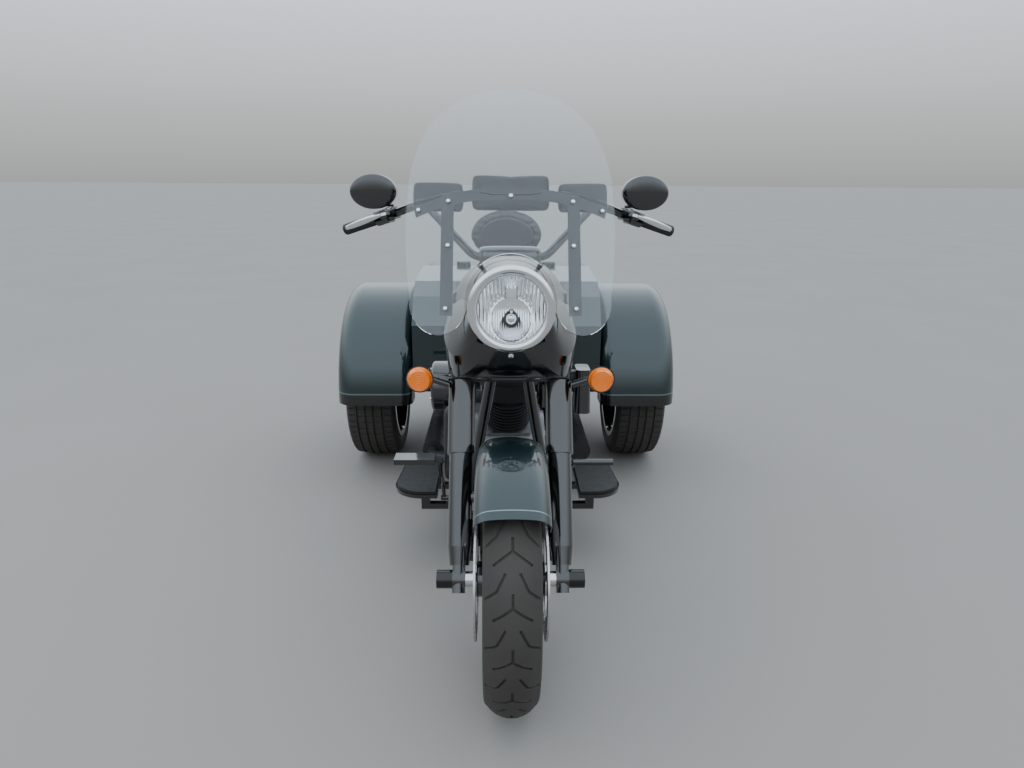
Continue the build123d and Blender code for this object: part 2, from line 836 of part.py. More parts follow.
# Engine: crankcase with gearbox, finned barrels, heads, pushrod tubes
case_half = 125.0
case_radius = 150.0
deck = 152.0
head_low_step = 288.0
rocker_low = 350.0
pushrod_x = 84.0
belt_x = 50.0
belt_width = 32.0
belt_thickness = 5.0
front_pulley_radius = 44.0
rear_pulley_radius = 95.0
front_pulley_y = engine_y + 310.0


def barrel_plane(tilt):
    """The plane of a barrel: its Z runs up the cylinder from the crankshaft."""
    return Plane(
        origin=(0, engine_y, crank_z), x_dir=(1, 0, 0), z_dir=(0, sin(radians(tilt)), cos(radians(tilt)))
    )


with BuildPart() as engine_case:
    with BuildSketch(side(-case_half)):
        with Locations((engine_y, crank_z)):
            Circle(case_radius)
        with Locations((engine_y + 260, crank_z - 10)):
            RectangleRounded(260, 210, 40)
        with Locations((engine_y + 60, crank_z - 60)):
            RectangleRounded(300, 146, 40)
    extrude(amount=2 * case_half)
    for tilt in (-barrel_tilt, barrel_tilt):
        with BuildSketch(barrel_plane(tilt)):
            RectangleRounded(160, 124, 12)
        extrude(amount=deck)
    add(
        block(
            (belt_x - 8, front_pulley_y - front_pulley_radius - 12, 0),
            (200, front_pulley_y + 200, 700),
        ),
        mode=Mode.SUBTRACT,
    )
save(engine_case.part, "engine_case")
with BuildPart() as cylinders:
    for tilt in (-barrel_tilt, barrel_tilt):
        base = barrel_plane(tilt)
        with BuildSketch(base.offset(deck + seat_gap)):
            Circle(58)
        extrude(amount=head_low_step - deck - seat_gap)
        for step in range(9):
            with BuildSketch(base.offset(deck + 10 + step * 13)):
                Circle(fin_radius - 2)
            extrude(amount=4)
save(cylinders.part, "cylinders")
with BuildPart() as cylinder_heads:
    for tilt in (-barrel_tilt, barrel_tilt):
        base = barrel_plane(tilt)
        with BuildSketch(base.offset(head_low_step + seat_gap)):
            RectangleRounded(2 * fin_radius, 130, 30)
        extrude(amount=rocker_low - head_low_step - 2 * seat_gap)
        with BuildSketch(base.offset(rocker_low)):
            RectangleRounded(2 * pushrod_x + 20, 112, 24)
        extrude(amount=46, taper=10)
save(cylinder_heads.part, "cylinder_heads")
with BuildPart() as pushrod_tubes:
    for tilt in (-barrel_tilt, barrel_tilt):
        for shift in (-14, 14):
            head = barrel_plane(tilt).from_local_coords(Vector(-pushrod_x, shift, rocker_low - seat_gap))
            foot = barrel_plane(tilt).from_local_coords(Vector(-pushrod_x, shift, deck + seat_gap))
            add(rod(foot, head, 8.0))
save(pushrod_tubes.part, "pushrod_tubes")

with BuildPart() as primary_cover:
    with BuildSketch(side(case_half + seat_gap)):
        with Locations((engine_y + 110, crank_z - 20)):
            SlotCenterToCenter(230, 216)
    extrude(amount=80)
    fillet(primary_cover.faces().sort_by(Axis.X)[-1].edges(), 22)
save(primary_cover.part, "primary_cover")
cleaner_z = 588.0
manifold_z = 652.0
with BuildPart() as air_cleaner:
    with BuildSketch(side(-262)):
        with Locations((engine_y, cleaner_z)):
            Circle(88)
    extrude(amount=62)
    fillet(air_cleaner.faces().sort_by(Axis.X)[0].edges(), 14)
    with BuildSketch(side(-201)):
        with Locations((engine_y, cleaner_z + 14)):
            Circle(28)
    extrude(amount=150)
    add(block((-52, engine_y - 26, cleaner_z), (-13, engine_y + 26, manifold_z + 22)))
    add(rod((-34, engine_y - 80, manifold_z), (-34, engine_y + 80, manifold_z), 18.0))
    add(cylinder_heads.part, mode=Mode.SUBTRACT)
    add(cylinders.part, mode=Mode.SUBTRACT)
save(air_cleaner.part, "air_cleaner")

# Horn on a strap from the backbone, between the barrels on the left
spine_fall = (spine_front[2] - spine_rear[2]) / (spine_rear[1] - spine_front[1])
strap_top = (
    spine_front[2]
    - spine_fall * (engine_y + 12 - spine_front[1])
    - backbone_radius * sqrt(1 + spine_fall**2)
    - seat_gap
)
with BuildPart() as horn:
    with BuildSketch(Plane.XY.offset(505)):
        with Locations((256, engine_y - 10)):
            RectangleRounded(58, 96, 20)
    extrude(amount=154, taper=2)
    add(rod((0, engine_y, 640), (240, engine_y, 640), 7.0))
    add(block((-12, engine_y - 12, 628), (12, engine_y + 12, strap_top)))
save(horn.part, "horn")

# Belt drive: front pulley behind the gearbox, rear pulley on the axle
with BuildPart() as drive_belt:
    for x, grow in ((belt_x, belt_thickness), (belt_x - 1, 0.0)):
        with BuildSketch(side(x)):
            with Locations((front_pulley_y, crank_z - 10)):
                Circle(front_pulley_radius + seat_gap + grow)
            with Locations((ry, rear_axle_z)):
                Circle(rear_pulley_radius + seat_gap + grow)
            make_hull()
        extrude(amount=belt_width + 2 * (belt_x - x), mode=Mode.ADD if grow else Mode.SUBTRACT)
    for y, z, radius, bore in (
        (front_pulley_y, crank_z - 10, front_pulley_radius, 0.0),
        (ry, rear_axle_z, rear_pulley_radius, 34.0 + seat_gap),
    ):
        with BuildSketch(side(belt_x)):
            with Locations((y, z)):
                Circle(radius)
                if bore:
                    Circle(bore, mode=Mode.SUBTRACT)
        extrude(amount=belt_width)
    with BuildSketch(side(belt_x)):
        with Locations((front_pulley_y, crank_z - 10)):
            Circle(16)
    extrude(amount=-8 + seat_gap)
save(drive_belt.part, "drive_belt")

# Exhaust: two headers and two mufflers low on the right and left
muffler_x = 300.0
with BuildPart() as exhaust:
    for s in (1, -1):
        with BuildSketch(cross(fy + 1130)):
            with Locations((s * muffler_x, 205)):
                Circle(44)
        extrude(amount=-(ry + 480 - fy - 1130))
header_x = 190.0
headers = [
    tube(
        [
            (-fin_radius - seat_gap, engine_y + port, 600),
            (-fin_radius - 46, engine_y + port, 600),
            (-header_x, engine_y + port + sweep_back, 552),
            (-header_x, engine_y + port + 2 * sweep_back, knee_z),
            (-header_x, engine_y + 90, knee_z - 20),
            (-header_x - 25, engine_y + 190, 235),
            (-muffler_x, fy + 1085, 205),
            (-muffler_x, fy + 1140, 205),
        ],
        21.0,
        26,
    )
    for port, sweep_back, knee_z in ((-158.0, -14.0, 330.0), (158.0, -38.0, 380.0))
]
crossover = tube(
    [(-muffler_x, fy + 1150, 205), (-200, fy + 1175, 150), (200, fy + 1175, 150), (muffler_x, fy + 1150, 205)],
    19.0,
    25,
)
with BuildPart() as exhaust_system:
    add(exhaust.part)
    add(headers)
    add(crossover)
save(exhaust_system.part, "exhaust")

# Fuel tank lofted through rounded sections, with a tunnel over the backbone
tank_table = (
    # station, width, height, centre height, corner
    (575.0, 110.0, 110.0, 865.0, 40.0),
    (700.0, 330.0, 176.0, 862.0, 78.0),
    (860.0, 380.0, 176.0, 852.0, 80.0),
    (1010.0, 250.0, 130.0, 828.0, 56.0),
)
tunnel = slab(
    [
        (fy + 540, 700),
        (fy + 540, 858 + backbone_radius + 6),
        (fy + 1030, 798 + backbone_radius + 6),
        (fy + 1030, 700),
    ],
    -backbone_radius - seat_gap,
    backbone_radius + seat_gap,
)
with BuildPart() as fuel_tank:
    for station, width, height, centre, corner in tank_table:
        with BuildSketch(cross(fy + station)):
            with Locations((0, centre)):
                RectangleRounded(width, height, corner)
    loft()
    add(tunnel, mode=Mode.SUBTRACT)
save(fuel_tank.part, "fuel_tank")

# Seat, backrest bar and pad
with BuildPart() as seat:
    with BuildSketch(side(-165)):
        with BuildLine():
            Polyline(
                (fy + 1022, 760),
                (fy + 1120, 706),
                (fy + 1290, 716),
                (fy + 1330, 800),
                (ry - 50 - seat_gap, 806),
                (ry - 50 - seat_gap, seat_base_z),
                (fy + 1075, seat_base_z),
                close=True,
            )
        make_face()
    extrude(amount=330)
save(seat.part, "seat")
pad_y = fy + 1640.0
with BuildPart() as backrest_pad:
    with BuildSketch(cross(pad_y)):
        with Locations((0, 1032)):
            Ellipse(163, 116)
    extrude(amount=52)
save(backrest_pad.part, "backrest_pad")
with BuildPart() as backrest_bar:
    with BuildSketch(cross(pad_y + 14 + seat_gap)):
        with Locations((-100, 964.8), (100, 964.8)):
            Rectangle(26, 202.6)
        with Locations((0, 1050)):
            Rectangle(226, 32)
    extrude(amount=14)
save(backrest_bar.part, "backrest_bar")

# Rear body: a rounded box between the wheels, its hatch cut free with a seam all round
body_outline = (
    (ry - 370, body_floor_z),
    (ry - 370, 690),
    (ry - 300, 800),
    (ry - 200, 850),
    (ry + 130, 872),
    (ry + 420, 856),
    (ry + 560, 770),
    (ry + 622, 610),
    (ry + 604, body_floor_z),
)


def body_form(inset):
    with BuildPart() as form:
        with BuildSketch(side(-body_half_width + inset)):
            with BuildLine():
                Polyline(*body_outline, close=True)
            make_face()
            if inset:
                offset(amount=-inset, kind=Kind.INTERSECTION)
        extrude(amount=2 * (body_half_width - inset))
    return form.part


outer_form = body_form(0)
inner_form = body_form(tub_wall)
with BuildPart() as trunk_space:
    add(inner_form)
    add(block((-500, hatch_front + 20, 0), (500, rear_end, 1200)), mode=Mode.INTERSECT)
with BuildPart() as body_shell:
    add(outer_form)
    add(trunk_space.part, mode=Mode.SUBTRACT)
hatch_zone = block((-hatch_half_width, hatch_front, hatch_sill), (hatch_half_width, rear_end, 1200))
lid_zone = block(
    (-hatch_half_width + moving_gap, hatch_front + moving_gap, hatch_sill + moving_gap),
    (hatch_half_width - moving_gap, rear_end, 1200),
)
hinge_x = 200.0
hinge_z = 884.0
with BuildPart() as rear_body:
    add(body_shell.part)
    add(hatch_zone, mode=Mode.SUBTRACT)
    add(block((-175, ry - 400, seat_base_z - seat_gap), (175, ry - 50, 1000)), mode=Mode.SUBTRACT)
    for s in (1, -1):
        add(block((s * hinge_x - 15, hatch_front - 40, 862), (s * hinge_x + 15, hatch_front, 880)))
        add(rod((s * hinge_x - 15, hatch_front, hinge_z), (s * hinge_x + 15, hatch_front, hinge_z), 9.0))
        add(rod((s * hinge_x - 32, hatch_front, hinge_z), (s * hinge_x + 32, hatch_front, hinge_z), hinge_pin_radius))
save(rear_body.part, "rear_body")
with BuildPart() as trunk_lid:
    add(body_shell.part)
    add(lid_zone, mode=Mode.INTERSECT)
    for s in (1, -1):
        for t in (-1, 1):
            x = s * hinge_x + t * 24
            add(block((x - 8, hatch_front + moving_gap, 862), (x + 8, hatch_front + 44, 878)))
            add(rod((x - 8, hatch_front, hinge_z), (x + 8, hatch_front, hinge_z), 9.0))
            add(block((x - 8, hatch_front, hinge_z - 7), (x + 8, hatch_front + 20, hinge_z)))
            add(rod((x - 9, hatch_front, hinge_z), (x + 9, hatch_front, hinge_z), hinge_pin_radius + running_gap), mode=Mode.SUBTRACT)
save(trunk_lid.part, "trunk_lid")

# Rear mudguards: rounded channels over the wheels
with BuildPart() as rear_fender:
    plane = Plane(origin=(0, ry, rear_axle_z + fender_lift), x_dir=(1, 0, 0), z_dir=(0, 0, 1))
    inner_x = body_half_width + seat_gap
    with BuildSketch(plane):
        for wall, mode in ((0.0, Mode.ADD), (fender_wall, Mode.SUBTRACT)):
            with BuildLine():
                x1, x2 = inner_x + wall, fender_outer_x - wall
                top = -fender_radius + wall
                low = -fender_opening + 2 * wall
                c1, c2 = 48 - wall, 75 - wall
                Polyline((x1, low), (x1, top + c1))
                ThreePointArc((x1, top + c1), (x1 + c1 * 0.293, top + c1 * 0.293), (x1 + c1, top))
                Line((x1 + c1, top), (x2 - c2, top))
                ThreePointArc((x2 - c2, top), (x2 - c2 * 0.293, top + c2 * 0.293), (x2, top + c2))
                Polyline((x2, top + c2), (x2, low), (x1, low))
            make_face(mode=mode)
    revolve(axis=Axis(plane.origin, (1, 0, 0)), revolution_arc=-180)
save(both_sides(rear_fender.part), "rear_fenders")

# Rear axle housing with half shafts, wheels and tyres
axle_tube_end = 525.0
axle_shaft_end = 656.0
with BuildPart() as rear_axle:
    add(rod((-axle_tube_end, ry, rear_axle_z), (axle_tube_end, ry, rear_axle_z), 34.0))
    add(rod((-axle_shaft_end, ry, rear_axle_z), (axle_shaft_end, ry, rear_axle_z), 20.0))
    add(rod((-78, ry, rear_axle_z), (belt_x - 2, ry, rear_axle_z), 78.0))
save(rear_axle.part, "rear_axle")
for name, x in (("left", rear_wheel_x), ("right", -rear_wheel_x)):
    rear_wheel = wheel(
        x, ry, rear_axle_z, rear_rim_radius, rear_rim_width, 62.0, 120.0, 20.0 + running_gap, 5
    )
    save(rear_wheel, f"{name}_rear_wheel")
    rear_tyre = tyre(
        x, ry, rear_axle_z, rear_tyre_radius, rear_tyre_width, rear_rim_radius, rear_rim_width, 9.0
    )
    save(rear_tyre, f"{name}_rear_tyre")

# Shocks between the axle and the rear cross tube
with BuildPart() as rear_shock:
    low = Vector(shock_x, ry + sqrt((34 + seat_gap + 16) ** 2 - 12**2), rear_axle_z - 12)
    high = Vector(shock_x, shock_top_y - 12 - seat_gap - 2, rear_rail_z - 10)
    direction = (high - low).normalized()
    add(rod(low, high, 12.0))
    add(rod(low + direction * 40, high - direction * 40, 30.0))
    add(rod(low - Vector(14, 0, 0), low + Vector(14, 0, 0), 16.0))
save(both_sides(rear_shock.part), "rear_shocks")

# Footboards with brackets to the lower rails
board_in = 238.0
board_out = 388.0
board_z = 262.0
board_front = fy + 600.0
board_back = fy + 900.0
with BuildPart() as footboard:
    with BuildSketch(Plane.XY.offset(board_z - 12)):
        with BuildLine():
            Polyline((board_in, board_back), (board_in, board_front), (board_in + 60, board_front))
            ThreePointArc(
                (board_in + 60, board_front),
                (board_out - 22, board_front + 34),
                (board_out, board_front + 110),
            )
            Polyline((board_out, board_front + 110), (board_out - 14, board_back), (board_in, board_back))
        make_face()
    extrude(amount=12)
    for y in (board_front + 70, board_back - 70):
        add(block((rail_x + rail_radius + seat_gap, y - 12, rail_z - 8), (board_in + 60, y + 12, rail_z + 12)))
        add(block((board_in + 30, y - 12, rail_z), (board_in + 60, y + 12, board_z - 12)))
save(both_sides(footboard.part), "footboards")
with BuildPart() as footboard_pad:
    with BuildSketch(Plane.XY.offset(board_z + seat_gap)):
        with BuildLine():
            Polyline((board_in + 6, board_back - 8), (board_in + 6, board_front + 8), (board_in + 58, board_front + 8))
            ThreePointArc(
                (board_in + 58, board_front + 8),
                (board_out - 28, board_front + 40),
                (board_out - 8, board_front + 112),
            )
            Polyline(
                (board_out - 8, board_front + 112), (board_out - 22, board_back - 8), (board_in + 6, board_back - 8)
            )
        make_face()
    extrude(amount=9)
save(both_sides(footboard_pad.part), "footboard_pads")

# Brake pedal on the right, gear lever on the left
with BuildPart() as foot_pedals:
    add(block((-370, fy + 552, 392), (-238, fy + 612, 410)))
    add(block((-250, fy + 578, 388), (-218, fy + 602, 402)))
    add(
        tube(
            [(-226, fy + 590, 396), (-226, fy + 636, 320), (-226, fy + 700, 260), (-226, fy + 730, 196)],
            7.0,
            14,
        )
    )
    add(rod((-rail_x - rail_radius - seat_gap, fy + 730, rail_z), (-236, fy + 730, rail_z), 9.0))
    add(tube([(222, fy + 600, 384), (220, fy + 680, 330), (220, fy + 780, 300)], 7.0, 14))
    add(rod((216, fy + 606, 380), (348, fy + 606, 380), 11.0))
    add(rod((case_half + 80 + 2 * seat_gap, fy + 776, 301), (228, fy + 776, 301), 10.0))
save(foot_pedals.part, "foot_pedals")

# Side covers on the seat posts
with BuildPart() as side_cover:
    with BuildSketch(side(rail_x + rail_radius + seat_gap)):
        with BuildLine():
            Polyline(
                (fy + 1090, 655), (ry - 378, 655), (ry - 378, 470), (ry - 440, 440), (fy + 1110, 500), close=True
            )
        make_face()
    extrude(amount=16)
save(both_sides(side_cover.part), "side_covers")

# Tank console with its dial, on the tank's crown
with BuildPart() as tank_console:
    with BuildSketch(Plane.XY.offset(890)):
        with Locations((0, fy + 800)):
            RectangleRounded(78, 300, 36)
        with Locations((0, fy + 720)):
            Circle(58)
    extrude(amount=72)
    with BuildSketch(Plane.XY.offset(962)):
        with Locations((0, fy + 720)):
            Circle(52)
    extrude(amount=12, taper=12)
    add(fuel_tank.part, mode=Mode.SUBTRACT)
console = tank_console.part.solids().sort_by(Axis.Z)[-1]
save(Part(children=[console]), "tank_console")


# Tail lamps seated on the fenders' rear faces
def wheel_arch(radius):
    with BuildPart() as arch:
        add(
            rod(
                (body_half_width, ry, rear_axle_z + fender_lift),
                (fender_outer_x + 10, ry, rear_axle_z + fender_lift),
                radius,
            )
        )
    return arch.part


lamp_bore = wheel_arch(fender_radius + seat_gap)
with BuildPart() as tail_lamp:
    with BuildSketch(cross(ry + 400)):
        with Locations((550, 470)):
            Circle(40)
    extrude(amount=-78)
    fillet(tail_lamp.faces().sort_by(Axis.Y)[-1].edges(), 12)
    add(lamp_bore, mode=Mode.SUBTRACT)
save(both_sides(tail_lamp.part), "tail_lamps")

# Rear bumper with the number-plate bracket
plate_hole_x = 146.0
plate_hole_z = 70.0
plate_hole_radius = 3.5
plate_z = 480.0
bumper_y = ry + 636.0
bumper_bar = tube(
    [(-330, ry + 500, 350), (-330, bumper_y, 350), (330, bumper_y, 350), (330, ry + 500, 350)], 20.0, 60
)
with BuildPart() as rear_bumper:
    add(bumper_bar)
    for x in (-rail_x, rail_x):
        add(block((x - 14, rear_rail_end + seat_gap, 350), (x + 14, bumper_y, rear_rail_z + 14)))
    add(block((-95, rear_end - 4, plate_z - 58), (95, rear_end, plate_z + 58)))
    add(block((-30, bumper_y - 6, 344), (30, rear_end - 1, 356)))
    add(block((-30, rear_end - 12, 344), (30, rear_end - 2, plate_z)))
    with BuildSketch(cross(rear_end + 10)):
        with GridLocations(plate_hole_x, plate_hole_z, 2, 2):
            with Locations((0, plate_z)):
                Circle(plate_hole_radius)
    extrude(amount=40, mode=Mode.SUBTRACT)
save(rear_bumper.part, "rear_bumper")
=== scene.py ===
import math

import bmesh
import bpy
from mathutils import Matrix, Vector
from mathutils.bvhtree import BVHTree


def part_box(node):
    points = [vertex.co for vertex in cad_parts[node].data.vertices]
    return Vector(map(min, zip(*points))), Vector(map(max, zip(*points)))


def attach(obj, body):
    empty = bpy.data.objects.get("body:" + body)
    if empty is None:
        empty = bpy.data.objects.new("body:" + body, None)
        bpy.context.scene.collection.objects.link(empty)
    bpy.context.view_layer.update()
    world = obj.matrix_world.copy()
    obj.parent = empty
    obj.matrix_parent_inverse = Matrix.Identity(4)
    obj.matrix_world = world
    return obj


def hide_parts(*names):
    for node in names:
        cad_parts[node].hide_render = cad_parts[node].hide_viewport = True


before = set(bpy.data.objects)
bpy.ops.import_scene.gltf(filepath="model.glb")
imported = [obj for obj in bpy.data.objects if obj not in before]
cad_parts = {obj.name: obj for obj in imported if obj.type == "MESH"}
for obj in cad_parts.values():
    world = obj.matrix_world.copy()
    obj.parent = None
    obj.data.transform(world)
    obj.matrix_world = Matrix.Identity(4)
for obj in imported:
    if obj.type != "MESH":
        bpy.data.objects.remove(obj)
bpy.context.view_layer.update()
print("Frame loaded with", len(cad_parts), "nodes")


def middleOf(node):
    low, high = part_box(node)
    return (low + high) / 2


frontAxle = middleOf("front_tyre")
rearAxles = {"left": middleOf("left_rear_tyre"), "right": middleOf("right_rear_tyre")}


# Camera: the photo's own view, worked out from the wheels, lamp and fork
cameraSetup = {
    "place": (-0.0283, -2.590, 1.311),
    "focalPixels": 710.0,
    "imageWidth": 1024.0,
    "sensor": 36.0,
    "pitchDown": 16.85,  # degrees
    "yawLeft": 1.03,
    "roll": 0.4,
}


def addCamera(s):
    pitch, yaw, roll = (math.radians(s[key]) for key in ("pitchDown", "yawLeft", "roll"))
    ahead = Vector((math.sin(yaw) * math.cos(pitch), math.cos(yaw) * math.cos(pitch), -math.sin(pitch)))
    right = Vector((math.cos(yaw), -math.sin(yaw), 0.0))
    up = right.cross(ahead)
    turnedRight = right * math.cos(roll) + up * math.sin(roll)
    turnedUp = up * math.cos(roll) - right * math.sin(roll)
    data = bpy.data.cameras.new("photoCamera")
    data.sensor_width = s["sensor"]
    data.lens = s["sensor"] * s["focalPixels"] / s["imageWidth"]
    cameraObject = bpy.data.objects.new("photoCamera", data)
    bpy.context.scene.collection.objects.link(cameraObject)
    turn = Matrix((turnedRight, turnedUp, -ahead)).transposed()
    cameraObject.matrix_world = Matrix.Translation(s["place"]) @ turn.to_4x4()
    bpy.context.scene.camera = cameraObject


addCamera(cameraSetup)


# Node trees: each socket takes a constant, or another node's output
def feed(tree, node, sockets):
    for socket, value in sockets.items():
        if isinstance(value, bpy.types.NodeSocket):
            tree.links.new(value, node.inputs[socket])
        else:
            node.inputs[socket].default_value = value


def addNode(tree, kind, sockets=None, **settings):
    node = tree.nodes.new(kind)
    for setting, value in settings.items():
        setattr(node, setting, value)
    feed(tree, node, sockets or {})
    return node


def reckon(tree, operation, *values):
    # What one maths node makes of its values
    return addNode(tree, "ShaderNodeMath", dict(enumerate(values)), operation=operation).outputs[0]


def newGroup(name, kind, given, made):
    # A node group and its two ends, with the sockets given and made as name and type
    group = bpy.data.node_groups.new(name, kind)
    for way, sockets in (("INPUT", given), ("OUTPUT", made)):
        for socket, socketKind in sockets.items():
            group.interface.new_socket(socket, in_out=way, socket_type="NodeSocket" + socketKind)
    return group, group.nodes.new("NodeGroupInput").outputs, group.nodes.new("NodeGroupOutput")


# Studio: a pale floor, a soft sky and two large lamps
studio = {
    "floorColour": (0.235, 0.222, 0.207),
    "floorHalf": 60.0,
    "skyTop": (0.80, 0.90, 1.0, 1.0),
    "skyHorizon": (0.290, 0.296, 0.298, 1.0),
    "skyGround": (0.09, 0.09, 0.088, 1.0),
    "skyStrength": 2.1,
    "groundStep": 0.44,  # heights of the sky's colours, 0.5 at eye level
    "horizonStep": 0.53,
    "topStep": 0.72,
    "lamps": (
        # name, place, aims at, width, height, watts
        ("overheadLamp", (-0.6, -1.0, 4.6), (0.0, 0.0, 0.4), 5.0, 4.0, 40.0),
        ("leftLamp", (-4.4, -3.2, 3.4), (0.0, -0.4, 0.6), 3.0, 3.0, 40.0),
    ),
}


def addSky(s):
    world = bpy.data.worlds.new("softSky")
    bpy.context.scene.world = world
    world.use_nodes = True
    tree = world.node_tree
    place = addNode(tree, "ShaderNodeTexCoord")
    split = addNode(tree, "ShaderNodeSeparateXYZ", {0: place.outputs["Generated"]})
    height = addNode(tree, "ShaderNodeMapRange", {"Value": split.outputs["Z"], "From Min": -1.0})
    ramp = addNode(tree, "ShaderNodeValToRGB", {0: height.outputs[0]})
    steps = ramp.color_ramp.elements
    steps[0].position = s["groundStep"]
    steps[0].color = s["skyGround"]
    steps[1].position = s["topStep"]
    steps[1].color = s["skyTop"]
    steps.new(s["horizonStep"]).color = s["skyHorizon"]
    feed(tree, tree.nodes["Background"], {"Color": ramp.outputs[0], "Strength": s["skyStrength"]})


def addStudio(s):
    floorMesh = bpy.data.meshes.new("floor")
    h = s["floorHalf"]
    floorMesh.from_pydata([(-h, -h, 0), (h, -h, 0), (h, h, 0), (-h, h, 0)], [], [(0, 1, 2, 3)])
    floor = bpy.data.objects.new("floor", floorMesh)
    bpy.context.scene.collection.objects.link(floor)
    addSky(s)
    for name, place, aim, width, height, watts in s["lamps"]:
        data = bpy.data.lights.new(name, "AREA")
        data.shape = "RECTANGLE"
        data.size = width
        data.size_y = height
        data.energy = watts
        lamp = bpy.data.objects.new(name, data)
        bpy.context.scene.collection.objects.link(lamp)
        lamp.location = place
        lamp.rotation_mode = "QUATERNION"
        lamp.rotation_quaternion = (Vector(aim) - Vector(place)).to_track_quat("-Z", "Y")
        lamp.visible_glossy = False
        lamp.visible_transmission = False
    return floor


floor = addStudio(studio)
print("Camera and studio ready")


# Shared shader effects
def patchyFinish():
    # Colour that drifts in soft patches, roughness that follows them, and a fine grain height
    group, given, made = newGroup(
        "patchyFinish",
        "ShaderNodeTree",
        {
            "Colour": "Color",
            "Drift": "Float",
            "Patch Scale": "Float",
            "Rough Low": "Float",
            "Rough High": "Float",
            "Grain Scale": "Float",
        },
        {"Colour": "Color", "Roughness": "Float", "Height": "Float"},
    )
    noise = {"Vector": addNode(group, "ShaderNodeTexCoord").outputs["Object"]}
    patch, grain = (
        addNode(group, "ShaderNodeTexNoise", {**noise, "Scale": given[scale], "Detail": detail}).outputs[0]
        for scale, detail in (("Patch Scale", 5.0), ("Grain Scale", 2.0))
    )
    swing = reckon(group, "SUBTRACT", patch, 0.5)
    share = reckon(group, "MULTIPLY_ADD", swing, given["Drift"], 1.0)
    tint = addNode(group, "ShaderNodeVectorMath", {0: given["Colour"], "Scale": share}, operation="SCALE")
    span = {"Value": patch, "From Min": 0.35, "From Max": 0.65}
    span.update({"To Min": given["Rough Low"], "To Max": given["Rough High"]})
    rough = addNode(group, "ShaderNodeMapRange", span)
    feed(group, made, {"Colour": tint.outputs[0], "Roughness": rough.outputs[0], "Height": grain})
    return group


def roundAxis():
    # Radius and turn of a point about an axle that lies along X, for ground rings and radial marks
    group, given, made = newGroup(
        "roundAxis", "ShaderNodeTree", {"Axle": "Vector"}, {"Radius": "Float", "Turn": "Float"}
    )
    place = addNode(group, "ShaderNodeTexCoord").outputs["Object"]
    shift = addNode(group, "ShaderNodeVectorMath", {0: place, 1: given["Axle"]}, operation="SUBTRACT")
    split = addNode(group, "ShaderNodeSeparateXYZ", {0: shift.outputs[0]}).outputs
    flat = addNode(group, "ShaderNodeCombineXYZ", {"Y": split["Y"], "Z": split["Z"]})
    reach = addNode(group, "ShaderNodeVectorMath", {0: flat.outputs[0]}, operation="LENGTH")
    turn = reckon(group, "ARCTAN2", split["Z"], split["Y"])
    feed(group, made, {"Radius": reach.outputs["Value"], "Turn": turn})
    return group


def grooveLines():
    # A mask of fine parallel lines from any number that grows across them
    sockets = {"Value": "Float", "Lines Per Unit": "Float", "Width": "Float"}
    group, given, made = newGroup("grooveLines", "ShaderNodeTree", sockets, {"Mask": "Float"})
    part = reckon(group, "FRACT", reckon(group, "MULTIPLY", given["Value"], given["Lines Per Unit"]))
    feed(group, made, {"Mask": reckon(group, "LESS_THAN", part, given["Width"])})
    return group


finishGroup = patchyFinish()
axisGroup = roundAxis()
lineGroup = grooveLines()


looks = {}


def newLook(
    name, colour, drift=0.2, patch=6.0, rough=(0.2, 0.4), grain=800.0, bump=0.0, depth=0.0005, **sockets
):
    # A material under its name; the last arguments are sockets of the Principled BSDF
    material = bpy.data.materials.new(name)
    material.use_nodes = True
    tree = material.node_tree
    shader = tree.nodes["Principled BSDF"]
    look = {
        "Colour": (*colour, 1.0),
        "Drift": drift,
        "Patch Scale": patch,
        "Rough Low": rough[0],
        "Rough High": rough[1],
        "Grain Scale": grain,
    }
    finish = addNode(tree, "ShaderNodeGroup", look, node_tree=finishGroup).outputs
    rise = {"Strength": bump, "Distance": depth, "Height": finish["Height"]}
    relief = addNode(tree, "ShaderNodeBump", rise, name="relief")
    feed(tree, shader, {"Base Color": finish["Colour"], "Roughness": finish["Roughness"]})
    feed(tree, shader, {socket.replace("_", " "): value for socket, value in sockets.items()})
    if bump:
        feed(tree, shader, {"Normal": relief.outputs[0]})
    looks[name] = material


def mixColour(tree, mask, colour):
    # Lays a second colour over the base wherever the mask is one
    shader = tree.nodes["Principled BSDF"]
    below = shader.inputs["Base Color"].links[0].from_socket
    layers = {"Factor": mask, "A": below, "B": (*colour, 1.0)}
    mix = addNode(tree, "ShaderNodeMix", layers, data_type="RGBA")
    feed(tree, shader, {"Base Color": mix.outputs["Result"]})


def within(tree, value, low, high):
    # One between the two limits, nothing outside them
    above = reckon(tree, "GREATER_THAN", value, low)
    return reckon(tree, "MULTIPLY", above, reckon(tree, "LESS_THAN", value, high))


def placeOf(tree, axis):
    place = addNode(tree, "ShaderNodeTexCoord").outputs["Object"]
    return addNode(tree, "ShaderNodeSeparateXYZ", {0: place}).outputs[axis]


def aboutAxle(tree, axle):
    return addNode(tree, "ShaderNodeGroup", {"Axle": axle}, node_tree=axisGroup).outputs


def lines(tree, value, count, width):
    values = {"Value": value, "Lines Per Unit": count, "Width": width}
    return addNode(tree, "ShaderNodeGroup", values, node_tree=lineGroup).outputs["Mask"]


